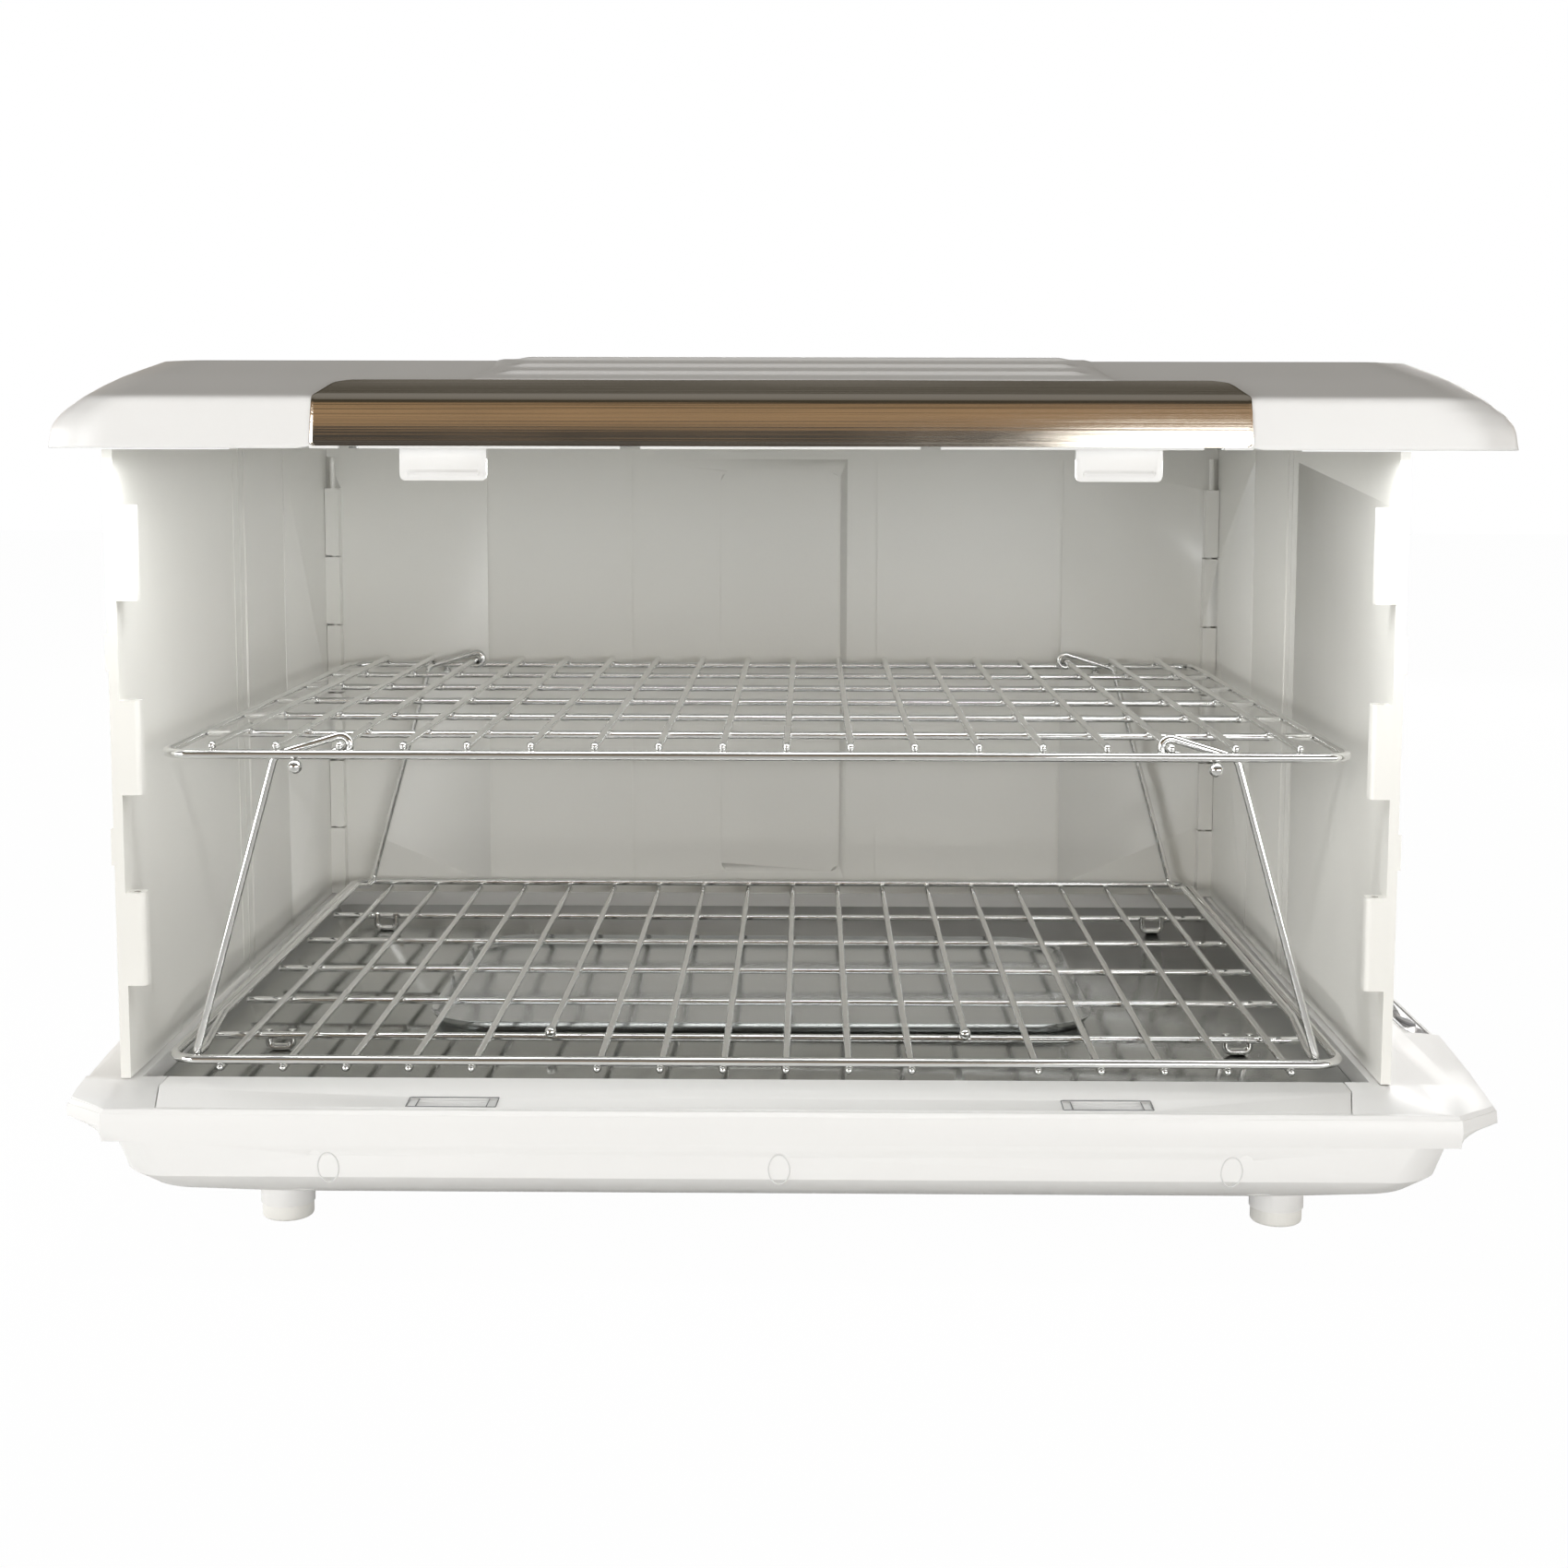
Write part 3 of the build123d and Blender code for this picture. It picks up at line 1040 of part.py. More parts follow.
# ---- all parts ----------------------------------------------------------------------
def build():
    """Every sub-part by name."""
    fold = fold_pin()
    corner = corner_pin()
    swing = swing_wall()
    fixed = fixed_wall()
    leg = leg_wire()
    parts = {
        "base_pan": base_pan(),
        "base_deck": base_deck(),
        "base_screws": base_screws(),
        "front_rail": front_rail(),
        "latch_catches": latch_catches(),
        "heater_plate": heater_plate(),
        "heating_element": heating_element(),
        "insulation_pad": insulation_pad(),
        "heat_shield": heat_shield(),
        "temperature_sensor": temperature_sensor(),
        "control_board": control_board(),
        "display_module": display_module(),
        "control_bezel": control_bezel(),
        "display_lens": display_lens(),
        "power_inlet": power_inlet(),
        "inlet_pins": inlet_pins(),
        "water_tray": water_tray(),
        "lower_frame": rack_frame(LOWER_FRAME_Z),
        "lower_wires": rack_wires(LOWER_WIRE_Z, SHORT_WIRES),
        "lower_cross_wires": rack_cross_wires(LOWER_CROSS_Z, RACK_W / 2),
        "lower_wire_balls": wire_end_balls(),
        "lower_feet": rack_feet(),
        "back_wall": back_wall(),
        "left_rear_wall": fixed,
        "right_rear_wall": mirrored(fixed),
        "left_front_wall": swing,
        "right_front_wall": mirrored(swing),
        "left_fold_pin": fold,
        "right_fold_pin": mirrored(fold),
        "corner_pins": [corner, mirrored(corner)],
        "shelf_frame": rack_frame(SHELF_FRAME_Z),
        "shelf_wires": rack_wires(SHELF_WIRE_Z),
        "shelf_cross_wires": rack_cross_wires(SHELF_CROSS_Z, RACK_W / 2 - FRAME_R),
        "shelf_balls": detent_balls(),
        "left_leg": leg,
        "right_leg": mirrored(leg),
        "lid_shell": lid_shell(),
        "lid_liner": lid_liner(),
        "trim_plate": trim_plate(),
        "lid_ribs": lid_ribs(),
        "lid_tab_left": lid_tab(-LATCH_X),
        "lid_tab_right": lid_tab(LATCH_X),
        "lid_screws": lid_screws(),
    }
    for end, sy in (("front", -1), ("rear", 1)):
        for hand, sx in (("left", -1), ("right", 1)):
            parts[f"foot_{end}_{hand}"] = rubber_foot(sx * FOOT_X, sy * FOOT_Y)
    for name, y in BUTTON_YS.items():
        parts[name] = push_button(y)
    return parts


os.makedirs("parts", exist_ok=True)
for node, shape in build().items():
    if isinstance(shape, list):
        shape = Compound(children=[solid for item in shape for solid in item.solids()])
    export_step(shape, f"parts/{node}.step")
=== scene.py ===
"""Folding dough proofer: the looks of its lid, base, walls, racks, heater and controls."""

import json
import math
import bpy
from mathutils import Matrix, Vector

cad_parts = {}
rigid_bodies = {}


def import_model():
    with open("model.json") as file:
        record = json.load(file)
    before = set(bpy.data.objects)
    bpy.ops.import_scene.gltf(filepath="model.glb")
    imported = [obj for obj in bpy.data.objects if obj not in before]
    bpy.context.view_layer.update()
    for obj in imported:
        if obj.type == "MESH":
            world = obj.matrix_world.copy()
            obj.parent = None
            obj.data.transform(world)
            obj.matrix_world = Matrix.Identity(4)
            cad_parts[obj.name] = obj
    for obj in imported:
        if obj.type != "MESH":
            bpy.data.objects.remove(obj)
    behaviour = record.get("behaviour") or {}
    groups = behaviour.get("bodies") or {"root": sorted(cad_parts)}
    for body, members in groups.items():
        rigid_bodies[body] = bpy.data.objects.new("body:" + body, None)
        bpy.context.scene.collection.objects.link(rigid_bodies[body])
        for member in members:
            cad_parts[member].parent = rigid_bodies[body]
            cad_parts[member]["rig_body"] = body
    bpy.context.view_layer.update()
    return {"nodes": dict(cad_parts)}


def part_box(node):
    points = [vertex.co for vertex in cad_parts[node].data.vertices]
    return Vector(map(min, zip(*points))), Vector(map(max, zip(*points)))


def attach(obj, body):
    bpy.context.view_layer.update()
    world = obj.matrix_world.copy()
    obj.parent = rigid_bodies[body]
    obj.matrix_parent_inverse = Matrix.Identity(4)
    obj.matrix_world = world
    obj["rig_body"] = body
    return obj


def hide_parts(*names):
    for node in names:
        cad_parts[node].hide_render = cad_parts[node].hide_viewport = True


bl_info = {
    "name": "Folding Dough Proofer",
    "version": (1, 0, 0),
    "blender": (4, 5, 0),
    "location": "3D View > Sidebar > Proofer",
    "description": "Builds the visible pieces of a folding dough proofer around its packed frame",
    "category": "Add Mesh",
}

from functools import cache

import bmesh
import bpy
import numpy as np
from bpy.props import FloatProperty, FloatVectorProperty, IntProperty, PointerProperty
from mathutils import Matrix, Vector

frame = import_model()
MM = 0.001


def low(node):
    """Lowest corner of a node in millimetres."""
    return np.array(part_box(node)[0]) / MM


def high(node):
    """Highest corner of a node in millimetres."""
    return np.array(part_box(node)[1]) / MM


LID_Z = float(low("lid_shell")[2])
LID_TOP = float(high("lid_shell")[2])
LINER_FOOT = float(low("lid_liner")[2])
FRONT_Y = float(low("base_pan")[1])
CHAMBER_X = float(low("shelf_frame")[0] + high("shelf_frame")[0]) / 2
CHAMBER_HALF = 196.65  # middle of the chamber to the inside of a side wall
HALF_DEPTH = 184.0  # middle of the body to its front and its back

# Plan of the lid: its straight ends, the tips of its corners and its widest place.
END_HALF = 206.0
TIP_X, TIP_Y = 219.5, 173.0
WIDEST = 228.6

# Section of the lid: an upright face that leans a little, then a facet up to the flat top.
FACE_HEIGHT = 15.1
FACE_INSET, FACE_LEAN = 0.6, 1.0
FACET_DEPTH = 43.0
CREST_Z = LID_Z + FACE_HEIGHT
CREST_BACK = FACE_INSET + FACE_LEAN
CREST_Y = CREST_BACK - HALF_DEPTH
LIP_ROWS = ((1.6, 2.4), (0.25, 2.4), (0.0, 2.1), (0.0, 0.3))  # height and inset under the lip
FACE_ROWS = ((0.0, 0.0), (6.5, 1.0), (10.3, 4.0), (FACE_HEIGHT, 10.8))  # height and side inset
FACET_ROWS = ((18.7, 12.9, 12.8), (21.8, 23.7, 15.6), (24.5, 33.5, 19.3),
              (LID_TOP - LID_Z, FACET_DEPTH, 23.5))  # height, depth behind the crest, side inset
LIP_EDGE = 0.25  # rise from the lip's underside to the first outer ring
TRIM_HALF = 138.0
TRIM_FOOT = LID_Z + 0.8
TRIM_ON_FACET = 17.0  # depth of facet that the trim covers

# The base: the ends of its bowl move outwards; posts, bosses, inlet and rim stay.
BOWL_TOP = 41.5  # underside of the rim
BOWL_MOVES = ((15.0, 21.9, 30.0, 41.5), (15.0, 12.5, 8.0, 4.5))  # heights, and the move at each
BOSS_TOP = 25.0  # the move starts beside the screw bosses below this, beside the inlet above
BOSS_START, BOSS_GROWTH = 155.0, 10.0
INLET_START, INLET_GROWTH = 163.0, 6.0
RIM_X = 203.0
POST_X, POST_Y, POST_ROOM, POST_TOP = 162.0, 129.0, 9.2, 16.0  # axis, radius, height

# The racks.
WIRES, CROSS_WIRES = 18, 5
FRAME_CORNER = 9.0
WIRE_STEP = 12.0  # spacing of rings along a straight wire
END_WELD = 1.2  # from a wire's end to its weld on the frame
WELD_HALF, WELD_WIDTH = 2.4, 1.1  # length divided finely beside a weld; width of its swelling


# ---- sizes and colours that a user may change --------------------------------------
def amount(name, text, value, least=0.0, **limits):
    """Number that a user may change."""
    return FloatProperty(name=name, description=text, default=value, min=least, **limits)


def colour(name, text, value):
    """Colour that a user may change."""
    return FloatVectorProperty(
        name=name, description=text, subtype="COLOR", default=value, min=0, max=1)


class ProoferSizes(bpy.types.PropertyGroup):
    """Sizes of the visible detail, in millimetres."""

    edge_round: amount("Edge rounding", "Rounding of moulded edges", 0.45, 0.05, max=1.5)
    lid_round: amount("Lid rounding", "Spacing of the lid's rings", 1.1, 0.4, max=3.0)
    wire_sides: IntProperty(
        name="Wire sides", description="Sides of each rack wire", default=14, min=8, max=32)
    weld_swell: amount("Weld swell", "How much a wire thickens at a weld", 0.16, max=0.6)


class ProoferColours(bpy.types.PropertyGroup):
    """Base colours of the finishes."""

    body: colour("Body", "Moulded base and lid", (0.86, 0.855, 0.84))
    wall: colour("Walls", "Moulded walls", (0.84, 0.83, 0.785))
    trim: colour("Trim", "Brushed trim", (0.52, 0.47, 0.40))
    chrome: colour("Wire", "Plated wire", (0.80, 0.80, 0.79))
    plate: colour("Heater plate", "Satin heater plate", (0.42, 0.425, 0.41))
    foot: colour("Feet", "Rubber feet", (0.80, 0.79, 0.75))


class ProoferStage(bpy.types.PropertyGroup):
    """Camera and light: powers in watts, shares of the front softbox's power."""

    focal: amount("Lens", "Focal length in millimetres", 51.71, 10, max=200)
    key: amount("Front light", "Power of the front softbox", 13.2)
    left: amount("Left share", "Share of the left softbox", 1.35)
    rear: amount("Back share", "Share of the back softbox", 0.85)
    sides: amount("Side share", "Share of the side softboxes, which differ by a fixed factor", 0.42)
    fill: amount("Inner fill", "Power of the lights under the lid", 0.2)
    world: amount("Surround", "Strength of the surrounding light", 1.0)


# ---- surfaces -----------------------------------------------------------------------
def grid_faces(rows, cols, wrap_rows=False, wrap_cols=False):
    """Quads of a grid of rows x cols points, joined to the start where a direction wraps."""
    r = np.arange(rows if wrap_rows else rows - 1)
    c = np.arange(cols if wrap_cols else cols - 1)
    i, j = np.meshgrid(r, c, indexing="ij")
    i2, j2 = (i + 1) % rows, (j + 1) % cols
    quads = np.stack([i * cols + j, i * cols + j2, i2 * cols + j2, i2 * cols + j], -1)
    return quads.reshape(-1, 4)


def merge(parts):
    """Joins (points, faces) pairs into one pair."""
    points, faces, offset = [], [], 0
    for p, f in parts:
        points.append(p)
        faces += [[i + offset for i in face] for face in f]
        offset += len(p)
    return np.concatenate(points), faces


def piece(name, points, faces, body, slot, look, replaces=(), recalc=True, **shading):
    """A finished object from points in millimetres; it rides on a body and may replace nodes."""
    mesh = bpy.data.meshes.new(name)
    mesh.from_pydata((np.asarray(points, float) * MM).tolist(), [], [list(f) for f in faces])
    if recalc:
        bm = bmesh.new()
        bm.from_mesh(mesh)
        bmesh.ops.remove_doubles(bm, verts=bm.verts, dist=1e-6)
        bmesh.ops.recalc_face_normals(bm, faces=bm.faces)
        bm.to_mesh(mesh)
        bm.free()
    dress(linked(name, mesh), body, slot, look, replaces, **shading)


def linked(name, data):
    """New object in the scene."""
    obj = bpy.data.objects.new(name, data)
    bpy.context.scene.collection.objects.link(obj)
    return obj


def shade(mesh, look, smooth=True, sharp=None):
    """Gives a mesh one finish, and smooth shading that may break at edges above an angle."""
    mesh.materials.clear()
    mesh.materials.append(finish(look))
    if smooth:
        mesh.shade_smooth()
        if sharp is not None:
            mesh.set_sharp_from_angle(angle=math.radians(sharp))


def dress(obj, body, slot, look, replaces=(), **shading):
    """Gives an object its finish, shading and body, and hides the nodes that it replaces; the slot
    is not used.
    """
    shade(obj.data, look, **shading)
    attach(obj, body)
    if replaces:
        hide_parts(*replaces)


def merged_copy(node, name, reshape=None, flatten=False):
    """Object with a copy of a node's mesh, its doubled corners merged; and the node's body."""
    source = frame["nodes"][node]
    mesh = source.data.copy()
    mesh.name = name
    bm = bmesh.new()
    bm.from_mesh(mesh)
    bmesh.ops.remove_doubles(bm, verts=bm.verts, dist=2e-6)
    if reshape is not None:
        moved = reshape(np.array([vert.co for vert in bm.verts]) / MM) * MM
        for vert, place in zip(bm.verts, moved):
            vert.co = place
    if flatten:
        bmesh.ops.dissolve_limit(
            bm, angle_limit=math.radians(1.0), verts=bm.verts, edges=bm.edges)
    bm.to_mesh(mesh)
    bm.free()
    for layer in list(mesh.uv_layers):
        mesh.uv_layers.remove(layer)
    return linked(name, mesh), source["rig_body"]


def moulded_copy(node, name, slot, look, width, angle=30, reshape=None):
    """Copy of a node whose edges are rounded by a bevel of the given width."""
    obj, body = merged_copy(node, name, reshape, flatten=True)
    bevel = obj.modifiers.new("edge", "BEVEL")
    bevel.width = width * MM
    bevel.segments = 2
    bevel.limit_method = "ANGLE"
    bevel.angle_limit = math.radians(angle)
    bevel.harden_normals = True
    bevel.miter_outer = "MITER_ARC"
    dress(obj, body, slot, look, (node,))


def fuller_bowl(points):
    """Moves the ends of the base's bowl outwards in X, by an amount that depends on the height.

    The share of the move grows evenly from nothing to one over a short way outside the screw
    bosses, low down, and outside the power inlet, higher up. The foot posts and the rim stay.
    """
    x, y, z = np.abs(points).T
    low_down = z < BOSS_TOP
    start = np.where(low_down, BOSS_START, INLET_START)
    growth = np.where(low_down, BOSS_GROWTH, INLET_GROWTH)
    share = np.clip((x - start) / growth, 0, 1)
    share[(np.hypot(x - POST_X, y - POST_Y) < POST_ROOM) & (z < POST_TOP)] = 0
    share[(z > BOWL_TOP + 0.1) | (x > RIM_X)] = 0
    moved = points.copy()
    moved[:, 0] += np.sign(points[:, 0]) * share * np.interp(z, *BOWL_MOVES)
    return moved


def run_length(points):
    """Distance of each point of a path from its start, along the path."""
    return np.concatenate([[0], np.cumsum(np.linalg.norm(np.diff(points, axis=0), axis=1))])


def laid_out(points, spots, length=None):
    """Places at given distances along a path of straight lines."""
    length = run_length(points) if length is None else length
    return np.stack([np.interp(spots, length, column) for column in points.T], -1)


def distinct(points):
    """A path without its repeated points."""
    gap = np.linalg.norm(np.diff(points, axis=0), axis=1)
    return points[np.concatenate([[True], gap > 1e-4])]


def outline(side, end, count=420):
    """Plan outlines, one per pair of insets: straight ends, corner edges and bowed sides.

    A bowed side is the arc through the two tips and the widest point. Each outline is laid out
    by its own length, so that equal places along it carry equal numbers.
    """
    end_x, end_y = END_HALF - side, HALF_DEPTH - end
    tip_x, tip_y, bow_x = TIP_X - side, TIP_Y - end, WIDEST - side
    rise = bow_x - tip_x
    radius = (tip_y ** 2 + rise ** 2) / (2 * rise)
    turn = np.arcsin(tip_y / radius)[:, None] * np.linspace(-1, 1, 61)
    arc_x = (bow_x - radius)[:, None] + radius[:, None] * np.cos(turn)
    arc_y = radius[:, None] * np.sin(turn)
    fx, fy = end_x[:, None], end_y[:, None]
    xs = np.concatenate([-fx, fx, arc_x, fx, -fx, -arc_x[:, ::-1], -fx], 1)
    ys = np.concatenate([-fy, -fy, arc_y, fy, fy, arc_y[:, ::-1], -fy], 1)
    rings = []
    for ring in np.stack([xs, ys], -1):
        spots = np.linspace(0, run_length(ring)[-1], count, endpoint=False)
        rings.append(laid_out(ring, spots))
    return np.array(rings)


def softened(values, passes):
    """Rounds the corners of a run of values by repeated three-point averages; its ends stay."""
    values = np.array(values, float)
    for _ in range(passes):
        values[1:-1] = (values[:-2] + 2 * values[1:-1] + values[2:]) / 4
    return values


def softened_ring(rings, passes):
    """Rounds the corners of closed rings by repeated three-point averages along them."""
    for _ in range(passes):
        rings = (np.roll(rings, 1, 1) + 2 * rings + np.roll(rings, -1, 1)) / 4
    return rings


def dense(keys, step, passes):
    """Key rows filled in to an even step along their first three columns, then rounded."""
    keys = np.array(keys, float)
    length = run_length(keys[:, :3])
    spots = np.linspace(0, length[-1], max(3, int(length[-1] / step)))
    return softened(laid_out(keys, spots, length), passes)


def ease(value):
    """Eased ramp from 0 to 1, level outside that range."""
    value = np.clip(value, 0, 1)
    return value ** 2 * (3 - 2 * value)


def cap(ring, first):
    """Fan of triangles from a ring of points to its middle, which is added after them."""
    count = len(ring)
    i = np.arange(count)
    return np.stack([first + i, first + (i + 1) % count, np.full(count, first + count)], -1)


def tube(path, radius, sides=14, reference=(0.13, 0.21, 0.97), closed=False):
    """Round wire along a path: rings at right angles to it, each a circle about the path.

    The circle's first direction is the part of a fixed reference that is square to the path.
    The radius is one number, or one for each point.
    """
    path = np.asarray(path, float)
    if closed:
        tangent = np.roll(path, -1, 0) - np.roll(path, 1, 0)
    else:
        tangent = np.gradient(path, axis=0)
    tangent /= np.linalg.norm(tangent, axis=1)[:, None]
    ref = np.asarray(reference, float)
    first = ref - tangent * (tangent @ ref)[:, None]
    first /= np.linalg.norm(first, axis=1)[:, None]
    second = np.cross(tangent, first)
    radius = np.broadcast_to(np.asarray(radius, float), (len(path),))
    turn = np.linspace(0, 2 * math.pi, sides, endpoint=False)
    across, up = np.cos(turn)[None, :, None], np.sin(turn)[None, :, None]
    circle = first[:, None] * across + second[:, None] * up
    points = (path[:, None] + circle * radius[:, None, None]).reshape(-1, 3)
    faces = grid_faces(len(path), sides, wrap_rows=closed, wrap_cols=True).tolist()
    if not closed:
        faces.append(list(range(sides))[::-1])
        faces.append(list(range((len(path) - 1) * sides, len(path) * sides)))
    return points, faces


def rod(start, end, radius, welds, sizes):
    """Straight wire with domed ends, a little thicker at each weld.

    The dome is a quarter circle in the radius, and a swelling is a bell curve along the wire.
    """
    start, end = np.asarray(start, float), np.asarray(end, float)
    length = np.linalg.norm(end - start)
    dome = radius * (1 - np.cos(np.linspace(0.25, math.pi / 2, 5)))
    middle = np.arange(radius + WIRE_STEP, length - radius, WIRE_STEP)
    fine = [np.linspace(weld - WELD_HALF, weld + WELD_HALF, 9) for weld in welds]
    at = np.unique(np.concatenate([dome, middle, length - dome] + fine))
    at = at[(at >= dome[0]) & (at <= length - dome[0])]
    edge = np.minimum(at, length - at)
    reach = np.clip(1 - edge / radius, 0, 1)
    radii = radius * np.sqrt(np.clip(1 - reach ** 2, 0.0004, 1))
    for weld in welds:
        swell = sizes.weld_swell * np.exp(-((at - weld) / WELD_WIDTH) ** 2)
        radii = radii + swell * (edge > radius)
    return tube(start + (end - start) / length * at[:, None], radii, sizes.wire_sides)


def bent_path(corners, radii):
    """Points along straight runs joined by arcs that touch both runs at each corner."""
    corners = [np.asarray(c, float) for c in corners]
    points = [corners[0]]
    for before, at, after, r in zip(corners[:-2], corners[1:-1], corners[2:], radii):
        u = (before - at) / np.linalg.norm(before - at)
        v = (after - at) / np.linalg.norm(after - at)
        half = math.acos(np.clip(u @ v, -1, 1)) / 2
        back = r / math.tan(half)
        middle = (u + v) / np.linalg.norm(u + v)
        centre = at + middle * r / math.sin(half)
        a0, a1 = at + u * back - centre, at + v * back - centre
        turn = math.acos(np.clip(a0 @ a1 / r ** 2, -1, 1))
        t = np.linspace(0, 1, max(4, int(r * turn / 0.5)))[:, None]
        arc = (np.sin((1 - t) * turn) * a0 + np.sin(t * turn) * a1) / math.sin(turn)
        points.extend(centre + arc)
    points.append(corners[-1])
    return distinct(np.array(points))


# ---- finishes -----------------------------------------------------------------------
def finish_group(name, colour, roughness, *extra):
    """Shader group with a finish's sockets, its in and out nodes and its object coordinates."""
    group = bpy.data.node_groups.new(name, "ShaderNodeTree")
    inputs = (("Color", "NodeSocketColor", colour), *extra,
              ("Roughness", "NodeSocketFloat", roughness))
    for label, kind, default in inputs:
        socket = group.interface.new_socket(name=label, in_out="INPUT", socket_type=kind)
        socket.default_value = default
    for label, kind in (("Color", "NodeSocketColor"), ("Roughness", "NodeSocketFloat"),
                        ("Height", "NodeSocketFloat")):
        group.interface.new_socket(name=label, in_out="OUTPUT", socket_type=kind)
    place = group.nodes.new("ShaderNodeTexCoord").outputs["Object"]
    return group, group.nodes.new("NodeGroupInput"), group.nodes.new("NodeGroupOutput"), place


def add(tree, kind, **values):
    """Adds a node and sets its properties and unlinked inputs by name."""
    node = tree.nodes.new(kind)
    for key, value in values.items():
        if hasattr(node, key):
            setattr(node, key, value)
        else:
            node.inputs[key.replace("_", " ")].default_value = value
    return node


def link(tree, *pairs):
    """Links each pair of an output and an input."""
    for start, end in pairs:
        tree.links.new(start, end)


def calc(tree, operation, *values):
    """Result of a math node; each value is a number, or an output to link."""
    node = add(tree, "ShaderNodeMath", operation=operation)
    for entry, value in zip(node.inputs, values):
        if isinstance(value, bpy.types.NodeSocket):
            tree.links.new(value, entry)
        else:
            entry.default_value = value
    return node.outputs[0]


def varied(group, gin, gout, tone, amount, patches, spread, height):
    """Ends a group: one texture varies the colour's value, another one the roughness."""
    value = calc(group, "MULTIPLY_ADD", calc(group, "SUBTRACT", tone, 0.5), amount, 1.0)
    rough = calc(group, "MULTIPLY_ADD", patches, spread, gin.outputs["Roughness"])
    tint = add(group, "ShaderNodeHueSaturation")
    link(group, (gin.outputs["Color"], tint.inputs["Color"]), (value, tint.inputs["Value"]),
         (tint.outputs["Color"], gout.inputs["Color"]), (rough, gout.inputs["Roughness"]),
         (height, gout.inputs["Height"]))
    return group


@cache
def moulded_grain():
    """Shared group for moulded plastic: fine skin texture, slow colour drift and roughness."""
    group, gin, gout, place = finish_group(
        "moulded grain", (0.8, 0.8, 0.8, 1), 0.4,
        ("Grain Scale", "NodeSocketFloat", 900.0), ("Drift", "NodeSocketFloat", 0.03))
    slow = add(group, "ShaderNodeTexNoise", Scale=9.0, Detail=3.0)
    fine = add(group, "ShaderNodeTexNoise", Detail=2.0)
    skin = add(group, "ShaderNodeTexNoise", Scale=60.0, Detail=4.0)
    link(group, *((place, noise.inputs["Vector"]) for noise in (slow, fine, skin)),
         (gin.outputs["Grain Scale"], fine.inputs["Scale"]))
    return varied(group, gin, gout, slow.outputs["Fac"], gin.outputs["Drift"],
                  skin.outputs["Fac"], 0.12, fine.outputs["Fac"])


@cache
def brushed_lines():
    """Shared group for brushed metal: long streaks along X, as colour, roughness and height."""
    group, gin, gout, place = finish_group(
        "brushed lines", (0.6, 0.6, 0.6, 1), 0.3,
        ("Stretch", "NodeSocketVector", (3.0, 900.0, 900.0)),
        ("Contrast", "NodeSocketFloat", 0.25))
    scale = add(group, "ShaderNodeVectorMath", operation="MULTIPLY")
    streak = add(group, "ShaderNodeTexNoise", Scale=1.0, Detail=5.0)
    blotch = add(group, "ShaderNodeTexNoise", Scale=26.0, Detail=3.0)
    link(group, (place, scale.inputs[0]), (gin.outputs["Stretch"], scale.inputs[1]),
         (scale.outputs["Vector"], streak.inputs["Vector"]), (place, blotch.inputs["Vector"]))
    return varied(group, gin, gout, streak.outputs["Fac"], gin.outputs["Contrast"],
                  blotch.outputs["Fac"], 0.10, streak.outputs["Fac"])


BUMP_DEPTH = 0.0002


def base_material(name, metallic=0.0, **plain):
    """Material with a Principled shader; returns it with its tree and shader."""
    material = bpy.data.materials.new(name)
    material.use_nodes = True
    shader = material.node_tree.nodes["Principled BSDF"]
    shader.inputs["Metallic"].default_value = metallic
    for key, value in plain.items():
        shader.inputs[key.replace("_", " ")].default_value = value
    return material, material.node_tree, shader


def grouped(maker, name, color, bump, coat=0.0, **values):
    """Material whose colour, roughness and bump come from a shared group.

    The colour is given, or named after one of the colours that a user may change.
    """
    if isinstance(color, str):
        color = getattr(bpy.context.scene.proofer_colours, color)
    metallic = 1.0 if maker is brushed_lines else 0.0
    material, tree, shader = base_material(name, metallic, Coat_Weight=coat)
    group = tree.nodes.new("ShaderNodeGroup")
    group.node_tree = maker()
    group.inputs["Color"].default_value = (*color, 1)
    for key, value in values.items():
        group.inputs[key.replace("_", " ")].default_value = value
    relief = add(tree, "ShaderNodeBump", Strength=bump, Distance=BUMP_DEPTH)
    link(tree, (group.outputs["Color"], shader.inputs["Base Color"]),
         (group.outputs["Roughness"], shader.inputs["Roughness"]),
         (group.outputs["Height"], relief.inputs["Height"]),
         (relief.outputs["Normal"], shader.inputs["Normal"]))
    return material


def smoked_lens():
    """Clear plastic with a grey tint."""
    material, _, shader = base_material(
        "smoked lens", Roughness=0.05, Transmission_Weight=0.85, IOR=1.49)
    shader.inputs["Base Color"].default_value = (0.30, 0.31, 0.32, 1)
    return material


